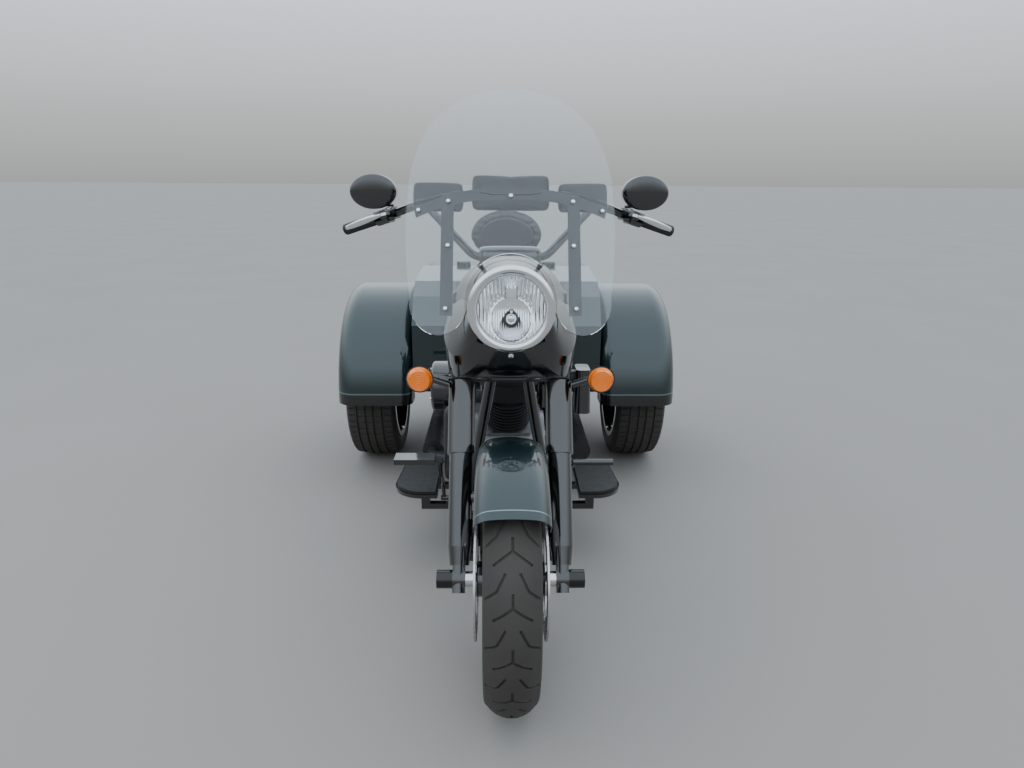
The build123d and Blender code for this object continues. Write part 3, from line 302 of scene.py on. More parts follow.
# Paints
paint = {
    "teal": (0.002, 0.0155, 0.0175),
    "black": (0.0035, 0.0035, 0.004),
    "stripHeight": 0.412,  # black lower trim of the rear mudguards
    "seamHighlightHeight": 0.006,  # painted highlight: a pale line on the trim's upper edge, standing in for light caught along the seam
    "seamHighlightColour": (0.10, 0.13, 0.13),
    "pinTurn": 2.17,  # fine line near the front mudguard's lip, radians about the axle
    "pinWidth": 0.006,
    "pinColour": (0.16, 0.24, 0.26),
    "spacerReach": 0.120,  # bright spacers inside the fork's lugs
    "spacerColour": (0.62, 0.62, 0.63),
}
gloss = {"Coat_Weight": 1.0, "Coat_Roughness": 0.03}

for name in ("tealBodyPaint", "tealFenderPaint", "tealFrontFenderPaint"):
    newLook(
        name, paint["teal"], drift=0.5, patch=2600.0, rough=(0.30, 0.42), grain=120.0, bump=0.02,
        depth=0.0002, Metallic=0.55, **gloss,
    )
newLook(
    "blackGloss", paint["black"], drift=0.4, patch=14.0, rough=(0.10, 0.20), grain=90.0, bump=0.03,
    depth=0.0002, **gloss,
)
newLook(
    "blackSatin", (0.014, 0.014, 0.015), drift=0.4, patch=30.0, rough=(0.34, 0.50), grain=1400.0,
    bump=0.25, depth=0.0002,
)
newLook(
    "engineWrinkleBlack", (0.012, 0.012, 0.013), drift=0.4, patch=40.0, rough=(0.45, 0.62), grain=900.0,
    bump=0.6, depth=0.0004,
)
newLook(
    "axleFinish", paint["black"], drift=0.4, patch=14.0, rough=(0.12, 0.24), grain=90.0,
    Coat_Roughness=0.03,
)

# Metals
newLook(
    "brightChrome", (0.72, 0.73, 0.75), drift=0.05, patch=9.0, rough=(0.04, 0.11), grain=400.0,
    Metallic=1.0,
)
newLook(
    "castAlloy", (0.30, 0.30, 0.31), drift=0.25, patch=35.0, rough=(0.38, 0.55), grain=1100.0, bump=0.5,
    depth=0.0003, Metallic=1.0,
)
newLook(
    "groundDiscSteel", (0.55, 0.54, 0.53), drift=0.15, patch=20.0, rough=(0.22, 0.34), grain=600.0,
    Metallic=1.0,
)
newLook(
    "plainSteel", (0.50, 0.50, 0.51), drift=0.2, patch=30.0, rough=(0.20, 0.34), grain=700.0, bump=0.1,
    Metallic=1.0,
)
newLook("mirrorGlass", (0.88, 0.90, 0.92), drift=0.02, patch=4.0, rough=(0.01, 0.03), Metallic=1.0)
newLook(
    "reflectorSilver", (0.92, 0.93, 0.95), drift=0.05, patch=40.0, rough=(0.05, 0.12), grain=700.0,
    Metallic=1.0,
)

# Rubber, vinyl and fabric
newLook(
    "treadRubber", (0.034, 0.030, 0.026), drift=0.9, patch=16.0, rough=(0.62, 0.86), grain=900.0, bump=0.5,
    depth=0.0004,
)
newLook(
    "mouldedRubber", (0.012, 0.012, 0.012), drift=0.5, patch=40.0, rough=(0.45, 0.62), grain=1300.0,
    bump=0.35, depth=0.0003,
)
newLook(
    "ribbedGripRubber", (0.012, 0.012, 0.012), drift=0.5, patch=40.0, rough=(0.45, 0.62), grain=1300.0,
    bump=0.9, depth=0.0012,
)
newLook(
    "grainedVinyl", (0.011, 0.011, 0.012), drift=0.5, patch=22.0, rough=(0.36, 0.52), bump=0.55,
    depth=0.0006, Sheen_Weight=0.08,
)
newLook(
    "bagFabric", (0.016, 0.016, 0.018), drift=0.5, patch=30.0, rough=(0.55, 0.75), grain=1500.0, bump=0.6,
    Sheen_Weight=0.15,
)
newLook("threadGrey", (0.11, 0.11, 0.115), drift=0.4, patch=200.0, rough=(0.5, 0.7), grain=2500.0, bump=0.4)

# Glass, lenses and the floor
newLook(
    "clearSheet", (0.90, 0.95, 0.97), drift=0.02, patch=3.0, rough=(0.0, 0.02), Transmission_Weight=1.0,
    IOR=1.49,
)
newLook(
    "lampGlass", (0.98, 0.99, 1.0), drift=0.01, patch=8.0, rough=(0.0, 0.01), Transmission_Weight=1.0,
    IOR=1.45,
)
newLook(
    "amberLens", (0.90, 0.20, 0.0), drift=0.35, patch=60.0, rough=(0.12, 0.24), grain=350.0, bump=0.5,
    depth=0.001, Coat_Weight=0.4, Coat_Roughness=0.03, Emission_Color=(1.0, 0.14, 0.0, 1.0),
    Emission_Strength=0.05,
)
newLook(
    "redLens", (0.42, 0.006, 0.006), drift=0.35, patch=60.0, rough=(0.08, 0.18), grain=350.0, bump=0.5,
    depth=0.001, **gloss,
)
newLook(
    "studioFloor", studio["floorColour"], drift=0.06, patch=1.2, rough=(0.75, 0.9), grain=260.0,
    bump=0.15, depth=0.001,
)
floor.data.materials.append(looks["studioFloor"])

# Lines on the mudguards; the pale band on the rear trim's upper edge is a painted highlight
tree = looks["tealFenderPaint"].node_tree
height = placeOf(tree, "Z")
mixColour(tree, reckon(tree, "LESS_THAN", height, paint["stripHeight"]), paint["black"])
seamHighlightTop = paint["stripHeight"] + paint["seamHighlightHeight"]
# Painted highlight: a pale band along the top of the rear trim, where light catches the seam
mixColour(tree, within(tree, height, paint["stripHeight"], seamHighlightTop), paint["seamHighlightColour"])
tree = looks["tealFrontFenderPaint"].node_tree
pinZone = within(
    tree, aboutAxle(tree, frontAxle)["Turn"], paint["pinTurn"], paint["pinTurn"] + paint["pinWidth"]
)
mixColour(tree, pinZone, paint["pinColour"])

# Ground rings on the brake discs
tree = looks["groundDiscSteel"].node_tree
mixColour(tree, lines(tree, aboutAxle(tree, frontAxle)["Radius"], 1100.0, 0.35), (0.42, 0.41, 0.40))

# Black end caps outside the fork's lugs, bright spacers between them
tree = looks["axleFinish"].node_tree
inner = reckon(tree, "LESS_THAN", reckon(tree, "ABSOLUTE", placeOf(tree, "X")), paint["spacerReach"])
mixColour(tree, inner, paint["spacerColour"])
feed(tree, tree.nodes["Principled BSDF"], {"Metallic": inner})

# Pebbled grain of the vinyl and ribs of the grips
tree = looks["grainedVinyl"].node_tree
pebbles = {"Scale": 420.0, "Vector": addNode(tree, "ShaderNodeTexCoord").outputs["Object"]}
cells = addNode(tree, "ShaderNodeTexVoronoi", pebbles, feature="DISTANCE_TO_EDGE")
feed(tree, tree.nodes["relief"], {"Height": reckon(tree, "MINIMUM", cells.outputs["Distance"], 0.22)})
tree = looks["ribbedGripRubber"].node_tree
feed(tree, tree.nodes["relief"], {"Height": lines(tree, placeOf(tree, "X"), 170.0, 0.55)})

# Concentric moulded rings about each signal lens's own middle
signalLens = {
    "x": 0.239,
    "z": 0.780,
    "rings": 200.0,
    "ringWidth": 0.10,
    "ringColour": (0.50, 0.055, 0.0),
    "strength": 0.9,
    "depth": 0.002,
}


def ringedLens(tree, s):
    sideways = reckon(tree, "SUBTRACT", reckon(tree, "ABSOLUTE", placeOf(tree, "X")), s["x"])
    upwards = reckon(tree, "SUBTRACT", placeOf(tree, "Z"), s["z"])
    flat = addNode(tree, "ShaderNodeCombineXYZ", {"X": sideways, "Y": upwards})
    reach = addNode(tree, "ShaderNodeVectorMath", {0: flat.outputs[0]}, operation="LENGTH")
    wave = reckon(tree, "PINGPONG", reckon(tree, "MULTIPLY", reach.outputs["Value"], s["rings"]), 0.5)
    feed(tree, tree.nodes["relief"], {"Strength": s["strength"], "Distance": s["depth"], "Height": wave})
    mixColour(tree, reckon(tree, "LESS_THAN", wave, s["ringWidth"]), s["ringColour"])


ringedLens(looks["amberLens"].node_tree, signalLens)

# What every construction piece is finished in
nodeFinish = {
    "tealBodyPaint": ("fuel_tank", "rear_body", "trunk_lid"),
    "tealFenderPaint": ("rear_fenders",),
    "tealFrontFenderPaint": ("front_fender",),
    "blackGloss": (
        "frame", "tank_console", "rear_bumper", "footboards", "foot_pedals", "side_covers", "fork_legs",
        "nacelle", "handlebar", "bar_controls", "mirrors", "turn_signals", "front_wheel",
        "left_rear_wheel", "right_rear_wheel", "backrest_bar", "primary_cover", "air_cleaner", "horn",
    ),
    "blackSatin": (
        "rear_axle", "rear_shocks", "oil_cooler", "swingarm", "steering_stem", "front_calipers",
        "screen_bracket", "exhaust",
    ),
    "engineWrinkleBlack": ("cylinders", "cylinder_heads"),
    "brightChrome": ("pushrod_tubes", "headlamp_ring", "headlamp_bowl", "hand_levers"),
    "castAlloy": ("engine_case",),
    "axleFinish": ("front_axle",),
    "groundDiscSteel": ("front_discs",),
    "treadRubber": ("front_tyre", "left_rear_tyre", "right_rear_tyre"),
    "mouldedRubber": ("drive_belt", "footboard_pads"),
    "ribbedGripRubber": ("grips",),
    "grainedVinyl": ("seat", "backrest_pad"),
    "bagFabric": ("screen_bag",),
    "clearSheet": ("windscreen",),
    "lampGlass": ("headlamp_lens",),
    "amberLens": ("signal_lenses",),
    "redLens": ("tail_lamps",),
}
for look, members in nodeFinish.items():
    for member in members:
        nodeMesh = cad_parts[member].data
        nodeMesh.materials.clear()
        nodeMesh.materials.append(looks[look])
print("Materials ready")


# Mesh helpers
def keepPiece(name, mesh, look, body, replaced=()):
    mesh.materials.clear()
    mesh.materials.append(looks[look])
    for polygon in mesh.polygons:
        polygon.use_smooth = True
    piece = bpy.data.objects.new(name, mesh)
    bpy.context.scene.collection.objects.link(piece)
    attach(piece, body)
    if replaced:
        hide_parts(*replaced)
    return piece


def meshFrom(name, points, faces):
    mesh = bpy.data.meshes.new(name)
    mesh.from_pydata([tuple(point) for point in points], [], faces)
    mesh.validate()
    return mesh


def outward(mesh, merge=1e-6):
    # Merges doubles and turns every face to look out
    edit = bmesh.new()
    edit.from_mesh(mesh)
    bmesh.ops.remove_doubles(edit, verts=edit.verts, dist=merge)
    bmesh.ops.recalc_face_normals(edit, faces=edit.faces)
    edit.to_mesh(mesh)
    edit.free()
    return mesh


def sharpen(mesh, degrees):
    # Keeps creases crisp where the surface turns by more than this
    mesh.set_sharp_from_angle(angle=math.radians(degrees))
    return mesh


def loft(name, rings):
    # Joins rings of points, each with as many as the next, and closes both ends
    count = len(rings[0])
    faces = []
    for row in range(len(rings) - 1):
        for k in range(count):
            a, b = row * count + k, row * count + (k + 1) % count
            faces.append((a, b, b + count, a + count))
    faces.append(tuple(reversed(range(count))))
    faces.append(tuple((len(rings) - 1) * count + k for k in range(count)))
    return outward(meshFrom(name, [point for ring in rings for point in ring], faces))


def lathed(name, profile, segments, base=Matrix.Identity(4)):
    # Turns (radius, height) pairs about Z and places the result with a matrix
    turns = [2 * math.pi * k / segments for k in range(segments)]
    rings = [
        [base @ Vector((radius * math.cos(turn), radius * math.sin(turn), height)) for turn in turns]
        for radius, height in profile
    ]
    return loft(name, rings)


def joined(name, meshes):
    edit = bmesh.new()
    for mesh in meshes:
        edit.from_mesh(mesh)
        bpy.data.meshes.remove(mesh)
    out = bpy.data.meshes.new(name)
    edit.to_mesh(out)
    edit.free()
    return out


def settled(holder):
    # The evaluated object as a plain mesh; the working object goes away
    graph = bpy.context.evaluated_depsgraph_get()
    mesh = bpy.data.meshes.new_from_object(holder.evaluated_get(graph))
    bpy.data.objects.remove(holder)
    return mesh


def working(name, mesh):
    holder = bpy.data.objects.new(name, mesh)
    bpy.context.scene.collection.objects.link(holder)
    return holder


def modified(mesh, *steps):
    # The mesh after some modifiers, each given as its kind and its settings
    holder = working("work", mesh)
    for kind, settings in steps:
        run = holder.modifiers.new(kind, kind)
        for setting, value in settings.items():
            setattr(run, setting, value)
    bpy.context.view_layer.update()
    return settled(holder)


subdivide = ("SUBSURF", {"levels": 1, "render_levels": 1})  # a step for modified


# Repeats, made by Geometry Nodes
def finished(tree, geometry, material, made):
    # Real geometry in its finish, handed out of the tree
    done = addNode(tree, "GeometryNodeSetMaterial", {0: geometry, "Material": material})
    feed(tree, made, {"Geometry": done.outputs[0]})


def aroundTree():
    # Copies its geometry round an axle along X and welds neighbouring edges
    sockets = {"Geometry": "Geometry", "Count": "Int", "Axle": "Vector", "Weld": "Float"}
    sockets["Finish"] = "Material"
    tree, given, made = newGroup("aroundAxle", "GeometryNodeTree", sockets, {"Geometry": "Geometry"})
    points = addNode(tree, "GeometryNodePoints", {"Count": given["Count"]})
    index = addNode(tree, "GeometryNodeInputIndex").outputs[0]
    turn = reckon(tree, "MULTIPLY", index, reckon(tree, "DIVIDE", 2 * math.pi, given["Count"]))
    spin = addNode(tree, "ShaderNodeCombineXYZ", {"X": turn})
    each = {"Points": points.outputs[0], "Instance": given["Geometry"], "Rotation": spin.outputs[0]}
    copies = addNode(tree, "GeometryNodeInstanceOnPoints", each)
    real = addNode(tree, "GeometryNodeRealizeInstances", {0: copies.outputs[0]})
    weld = addNode(tree, "GeometryNodeMergeByDistance", {0: real.outputs[0], "Distance": given["Weld"]})
    move = addNode(tree, "GeometryNodeTransform", {0: weld.outputs[0], "Translation": given["Axle"]})
    finished(tree, move.outputs[0], given["Finish"], made)
    return tree


def scatterTree():
    # Puts a small part on each point, turned to the point's facing and grown by its size
    sockets = {"Geometry": "Geometry", "Part": "Object", "Scale": "Float", "Finish": "Material"}
    tree, given, made = newGroup("partOnPoints", "GeometryNodeTree", sockets, {"Geometry": "Geometry"})
    part = addNode(tree, "GeometryNodeObjectInfo", {0: given["Part"]})
    facing, size = (
        addNode(tree, "GeometryNodeInputNamedAttribute", {"Name": name}, data_type=kind).outputs["Attribute"]
        for name, kind in (("facing", "FLOAT_VECTOR"), ("size", "FLOAT"))
    )
    turn = addNode(tree, "FunctionNodeAlignRotationToVector", {"Vector": facing}, axis="Z")
    each = {"Points": given["Geometry"], "Instance": part.outputs["Geometry"], "Rotation": turn.outputs[0]}
    each["Scale"] = reckon(tree, "MULTIPLY", size, given["Scale"])
    copies = addNode(tree, "GeometryNodeInstanceOnPoints", each)
    real = addNode(tree, "GeometryNodeRealizeInstances", {0: copies.outputs[0]})
    finished(tree, real.outputs[0], given["Finish"], made)
    return tree


aroundAxle = aroundTree()
partOnPoints = scatterTree()


def withTree(name, mesh, tree, values):
    # Runs a tree on a mesh with the named inputs and gives back the plain result
    holder = working(name, mesh)
    run = holder.modifiers.new(name, "NODES")
    run.node_group = tree
    sockets = {item.name: item.identifier for item in tree.interface.items_tree if item.in_out == "INPUT"}
    for socket, value in values.items():
        run[sockets[socket]] = value
    bpy.context.view_layer.update()
    return settled(holder)


def fastenerShape(kind):
    # Unit heads, one across the flats or over the dome, seated at z = 0
    shapes = {
        "dome": (((0.5, 0.0), (0.5, 0.06), (0.42, 0.22), (0.26, 0.32), (0.0001, 0.35)), 14),
        "socket": (((0.5, 0.0), (0.5, 0.5), (0.44, 0.55), (0.27, 0.55), (0.25, 0.25), (0.0001, 0.25)), 12),
        "nut": (((0.58, 0.0), (0.58, 0.32), (0.34, 0.36), (0.30, 0.50), (0.0001, 0.52)), 6),
    }
    profile, sides = shapes[kind]
    return sharpen(lathed("head", profile, sides), 30)


def fasteners(name, kind, rows, look, body):
    # rows hold (x, y, z, facing vector, size across) in metres
    mesh = meshFrom(name, [row[:3] for row in rows], [])
    mesh.attributes.new("facing", "FLOAT_VECTOR", "POINT")
    mesh.attributes.new("size", "FLOAT", "POINT")
    for k, (_, _, _, aim, across) in enumerate(rows):
        mesh.attributes["facing"].data[k].vector = Vector(aim).normalized()
        mesh.attributes["size"].data[k].value = across
    head = working("headShape", fastenerShape(kind))
    made = withTree(name, mesh, partOnPoints, {"Part": head, "Scale": 1.0, "Finish": looks[look]})
    bpy.data.objects.remove(head)
    keepPiece(name, sharpen(made, 30), look, body)


print("Geometry Nodes trees ready")


# Tyres: one pitch of tread with its grooves cut, then copied round the axle
frontTyre = {
    "pitches": 17,
    "stepsPerPitch": 8,
    "radius": 0.3195,
    "crownRadius": 0.0731,
    "treadHalf": 0.0559,
    "wallBulge": 0.0648,
    "wallRadius": 0.2712,
    "beadHalf": 0.0437,
    "beadRadius": 0.2553,
    "seatRadius": 0.2414,
    "grooveWidth": 0.0058,
    "grooveDepth": 0.0048,
    # each groove runs through (across, along) points of one pitch, 118 mm long
    "grooves": (
        ((0.0, -0.030), (0.0, 0.003)),
        ((0.0, 0.0), (0.042, 0.029)),
        ((0.0, 0.0), (-0.042, 0.029)),
        ((0.0155, 0.046), (0.034, 0.084), (0.060, 0.103)),
        ((-0.0155, 0.046), (-0.034, 0.084), (-0.060, 0.103)),
    ),
    "firstAlong": -0.036,
    "spill": 0.004,  # how far past the pitch a groove may lie and still be cut
}
rearTyre = {
    "pitches": 64,
    "stepsPerPitch": 2,
    "radius": 0.325,
    "shoulderDrop": 0.009,
    "treadHalf": 0.0920,
    "wallBulge": 0.1072,
    "wallRadius": 0.2760,
    "beadHalf": 0.0937,
    "beadRadius": 0.2433,
    "seatRadius": 0.2294,
    "ribEdges": (0.012, 0.021, 0.050, 0.058),  # circumferential grooves, mirrored
    "ribDepth": 0.0065,
    "ribSlope": 0.0008,
    "shoulderStart": 0.076,
    # cuts as (across in metres, along as a share of the pitch), the first two mirrored
    "sipe": ((0.020, 0.45), (0.051, 0.62)),
    "sipeWidth": 0.0016,
    "sipeDepth": 0.004,
    "slot": ((0.062, 0.30), (0.082, 0.42), (0.100, 0.44)),
    "slotWidth": 0.0042,
    "slotDepth": 0.0050,
    "middleSipe": ((-0.013, 0.5), (0.013, 0.5)),
    "middleDepth": 0.003,
}
cutting = {"step": 0.006, "proud": 0.012, "weld": 0.00004, "endTurn": 2e-5}


def arcThrough(a, b, c, count):
    # Points on the circle through three points, from a to c
    (x1, y1), (x2, y2), (x3, y3) = a, b, c
    d = 2 * (x1 * (y2 - y3) + x2 * (y3 - y1) + x3 * (y1 - y2))
    ux = ((x1**2 + y1**2) * (y2 - y3) + (x2**2 + y2**2) * (y3 - y1) + (x3**2 + y3**2) * (y1 - y2)) / d
    uy = ((x1**2 + y1**2) * (x3 - x2) + (x2**2 + y2**2) * (x1 - x3) + (x3**2 + y3**2) * (x2 - x1)) / d
    r = math.hypot(x1 - ux, y1 - uy)
    start, mid, end = (math.atan2(y - uy, x - ux) for x, y in (a, b, c))
    while mid - start > math.pi:
        mid -= 2 * math.pi
    while mid - start < -math.pi:
        mid += 2 * math.pi
    while end - mid > math.pi:
        end -= 2 * math.pi
    while end - mid < -math.pi:
        end += 2 * math.pi
    turns = [start + (end - start) * k / count for k in range(count + 1)]
    return [(ux + r * math.cos(turn), uy + r * math.sin(turn)) for turn in turns]


def frontProfile(t):
    # Half section from the crown to the bead, as (across, radius)
    r, half = t["crownRadius"], t["treadHalf"]
    crown = []
    for k in range(13):
        across = half * k / 12
        crown.append((across, t["radius"] - r + math.sqrt(r * r - across * across)))
    wall = arcThrough(crown[-1], (t["wallBulge"], t["wallRadius"]), (t["beadHalf"], t["beadRadius"]), 10)
    return crown + wall[1:] + [(t["beadHalf"], t["seatRadius"])]


def rearTreadAt(t, across):
    return t["radius"] - t["shoulderDrop"] * (across / t["treadHalf"]) ** 2


def rearProfile(t):
    low1, high1, low2, high2 = t["ribEdges"]
    slope = t["ribSlope"]
    crown = [(0.0, t["radius"])]
    for low, high in ((low1, high1), (low2, high2)):
        crown += [
            (low, rearTreadAt(t, low)),
            (low + slope, rearTreadAt(t, low) - t["ribDepth"]),
            (high - slope, rearTreadAt(t, high) - t["ribDepth"]),
            (high, rearTreadAt(t, high)),
        ]
    crown += [(across, rearTreadAt(t, across)) for across in (t["shoulderStart"], t["treadHalf"])]
    wall = arcThrough(crown[-1], (t["wallBulge"], t["wallRadius"]), (t["beadHalf"], t["beadRadius"]), 12)
    return crown + wall[1:] + [(t["beadHalf"], t["seatRadius"])]


def sectorMesh(name, halfProfile, steps, startTurn, endTurn):
    # A closed slice of the tyre between two turns about X; turn 0 is the front, growing downwards
    loop = [(-a, r) for a, r in reversed(halfProfile[1:])] + list(halfProfile)
    rings = []
    for k in range(steps + 1):
        turn = startTurn + (endTurn - startTurn) * k / steps
        rings.append([(across, -r * math.cos(turn), -r * math.sin(turn)) for across, r in loop])
    return loft(name, rings)


def grooveCutter(path, width, depth, radius, surfaceAt, shift):
    # A bar that follows the tread's surface along a path of (across, along) points
    fine = []
    for (x0, s0), (x1, s1) in zip(path, path[1:]):
        pieces = max(2, int(math.hypot(x1 - x0, s1 - s0) / cutting["step"]))
        fine += [(x0 + (x1 - x0) * k / pieces, s0 + (s1 - s0) * k / pieces) for k in range(pieces)]
    fine.append(path[-1])
    points, faces = [], []
    for k, (x, s) in enumerate(fine):
        before, after = fine[max(k - 1, 0)], fine[min(k + 1, len(fine) - 1)]
        along = Vector((after[0] - before[0], after[1] - before[1])).normalized()
        sideways = Vector((-along.y, along.x)) * width / 2
        for sign in (1, -1):
            turn = (s + sign * sideways.y + shift) / radius
            for r in (surfaceAt(abs(x)) - depth, surfaceAt(abs(x)) + cutting["proud"]):
                points.append((x + sign * sideways.x, -r * math.cos(turn), -r * math.sin(turn)))
    for k in range(len(fine) - 1):
        a, b = 4 * k, 4 * k + 4
        faces += [(a + c, a + d, b + d, b + c) for c, d in ((0, 1), (1, 3), (3, 2), (2, 0))]
    last = 4 * len(fine) - 4
    faces += [(0, 2, 3, 1), (last, last + 1, last + 3, last + 2)]
    return outward(meshFrom("groove", points, faces))


def cutPitch(body, cutters):
    tools = [working("cutter", cutter) for cutter in cutters]
    cut = {"operation": "DIFFERENCE", "solver": "EXACT"}
    mesh = modified(body, *(("BOOLEAN", {**cut, "object": tool}) for tool in tools))
    for tool in tools:
        bpy.data.objects.remove(tool)
    return mesh


def openEnds(mesh, startTurn, endTurn):
    # Takes the two cut faces away, so that neighbouring pitches weld into one skin
    edit = bmesh.new()
    edit.from_mesh(mesh)
    caps = []
    for face in edit.faces:
        turns = [math.atan2(-v.co.z, -v.co.y) for v in face.verts]
        if any(all(abs(t - end) < cutting["endTurn"] for t in turns) for end in (startTurn, endTurn)):
            caps.append(face)
    bmesh.ops.delete(edit, geom=caps, context="FACES")
    edit.to_mesh(mesh)
    edit.free()
    return mesh


def roundTyre(name, pitch, count, axle, body, node):
    values = {"Count": count, "Axle": tuple(axle), "Weld": cutting["weld"], "Finish": looks["treadRubber"]}
    mesh = withTree(name, pitch, aroundAxle, values)
    keepPiece(name, sharpen(mesh, 32), "treadRubber", body, replaced=(node,))


def makeFrontTyre(t):
    pitchTurn = 2 * math.pi / t["pitches"]
    pitchLong = pitchTurn * t["radius"]
    start = t["firstAlong"] / t["radius"]
    r = t["crownRadius"]

    def surfaceAt(across):
        return t["radius"] - r + math.sqrt(r * r - min(across, t["treadHalf"]) ** 2)

    cutters = []
    for path in t["grooves"]:
        for lap in (-1, 0, 1):
            shift = lap * pitchLong
            reach = [s + shift for _, s in path]
            starts = min(reach) < t["firstAlong"] + pitchLong + t["spill"]
            if starts and max(reach) > t["firstAlong"] - t["spill"]:
                cutters.append(
                    grooveCutter(path, t["grooveWidth"], t["grooveDepth"], t["radius"], surfaceAt, shift)
                )
    body = sectorMesh("frontPitch", frontProfile(t), t["stepsPerPitch"], start, start + pitchTurn)
    pitch = openEnds(cutPitch(body, cutters), start, start + pitchTurn)
    roundTyre("frontTyreTread", pitch, t["pitches"], frontAxle, "front_wheel", "front_tyre")


def makeRearTyre(t, sideName):
    pitchTurn = 2 * math.pi / t["pitches"]
    long = pitchTurn * t["radius"]

    def surfaceAt(across):
        return rearTreadAt(t, across)

    cuts = []
    for sign in (1, -1):
        cuts.append((sign, t["sipe"], t["sipeWidth"], t["sipeDepth"]))
        cuts.append((sign, t["slot"], t["slotWidth"], t["slotDepth"]))
    cuts.append((1, t["middleSipe"], t["sipeWidth"], t["middleDepth"]))
    cutters = []
    for sign, path, width, deep in cuts:
        path = [(sign * across, share * long) for across, share in path]
        cutters.append(grooveCutter(path, width, deep, t["radius"], surfaceAt, 0.0))
    body = sectorMesh("rearPitch", rearProfile(t), t["stepsPerPitch"], 0.0, pitchTurn)
    pitch = openEnds(cutPitch(body, cutters), 0.0, pitchTurn)
    name, wheel, node = f"{sideName}RearTyreTread", f"{sideName}_wheel", f"{sideName}_rear_tyre"
    roundTyre(name, pitch, t["pitches"], rearAxles[sideName], wheel, node)


makeFrontTyre(frontTyre)
for sideName in rearAxles:
    makeRearTyre(rearTyre, sideName)
print("Tyres ready")


# Padded pieces: each starts from its plain solid, drawn in a little, and is swollen by cloth pressure
clothFrames = 20
screenBag = {
    "voxel": 0.004,
    "inset": 0.006,
    "rounding": 10,
    "pressure": 4.0,
    "cap": 0.009,
    "fill": 0.5,
    "front": (0.0, -0.894, 0.447),  # the way the pockets' fronts look
    "seamWidth": 0.004,
    "seamDepth": 0.0045,
    "bindingRise": 0.008,
    "bindingStep": 0.006,
    "bindingLift": 0.0004,
    "bindingRadius": 0.0022,
    # name, from x, to x, flap line as (x, z)
    "pockets": (
        (
            "centreScreenPocket", -0.115, 0.115,
            ((-0.104, 1.246), (-0.050, 1.238), (0.050, 1.238), (0.104, 1.246)),
        ),
        ("leftScreenPocket", 0.115, 1.0, ((0.126, 1.246), (0.196, 1.232), (0.266, 1.214))),
        ("rightScreenPocket", -1.0, -0.115, ((-0.126, 1.246), (-0.196, 1.232), (-0.266, 1.214))),
    ),
}
saddle = {
    "voxel": 0.006,
    "inset": 0.010,
    "rounding": 24,
    "pressure": 4.0,
    "cap": 0.018,
    "fill": 0.8,
    "noseStart": 0.005,
    "noseLength": 0.20,
    "noseWidth": 0.66,  # share of the full width
    "widening": 0.34,
    # how far each channel reaches from the middle, its y, width and depth
    "channels": (
        (0.14, 0.13, 0.005, 0.006), (0.14, 0.18, 0.005, 0.006), (0.14, 0.23, 0.005, 0.006),
        (0.17, 0.300, 0.007, 0.008),
    ),
    "pipingRoute": ((0.06, 0.715), (0.12, 0.700), (0.26, 0.706), (0.33, 0.772), (0.56, 0.782)),
    "pipingStep": 0.01,
    "pipingLift": 0.0003,
    "pipingRadius": 0.003,
}
backrest = {
    "voxel": 0.005,
    "inset": 0.009,
    "rounding": 14,
    "pressure": 4.0,
    "cap": 0.015,
    "fill": 0.8,
    "middle": 1.032,
    "seamHalf": (0.118, 0.078),
    "seamWidth": 0.005,
    "seamDepth": 0.005,
    "pipingAhead": 0.004,
    "pipingRadius": 0.003,
}


def solidCopy(node, inside):
    # A merged copy of the loose parts of a construction piece that pass the test
    edit = bmesh.new()
    edit.from_mesh(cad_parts[node].data)
    bmesh.ops.delete(edit, geom=[v for v in edit.verts if not inside(v.co)], context="VERTS")
    bmesh.ops.remove_doubles(edit, verts=edit.verts, dist=1e-5)
    mesh = bpy.data.meshes.new(node + "Soft")
    edit.to_mesh(mesh)
    edit.free()
    return mesh


def swollen(mesh, s, rests):
    # rests(normal) tells which faces lie on something and stay where they are
    mesh = modified(
        mesh,
        ("REMESH", {"mode": "VOXEL", "voxel_size": s["voxel"]}),
        ("SMOOTH", {"factor": 0.5, "iterations": s["rounding"]}),
    )
    normals = [v.normal.copy() for v in mesh.vertices]
    still = [k for k, normal in enumerate(normals) if rests(normal)]
    stillSet = set(still)
    for k, v in enumerate(mesh.vertices):
        if k not in stillSet:
            v.co -= normals[k] * s["inset"]
    start = [v.co.copy() for v in mesh.vertices]
    holder = working("padWork", mesh)
    held = holder.vertex_groups.new(name="held")
    held.add(still, 1.0, "REPLACE")
    cloth = holder.modifiers.new("cloth", "CLOTH")
    cloth.settings.use_pressure = True
    cloth.settings.uniform_pressure_force = s["pressure"]
    cloth.settings.effector_weights.gravity = 0.0
    cloth.settings.vertex_group_mass = "held"
    cloth.collision_settings.use_collision = False
    cloth.point_cache.frame_start = 1
    cloth.point_cache.frame_end = clothFrames
    for step in range(1, clothFrames + 1):
        bpy.context.scene.frame_set(step)
    mesh = settled(holder)
    bpy.context.scene.frame_set(1)
    for v, at in zip(mesh.vertices, start):
        move = v.co - at
        if move.length > s["cap"]:
            v.co = at + move.normalized() * s["cap"]
    return modified(mesh, ("SMOOTH", {"factor": 0.5, "iterations": 3}), subdivide)


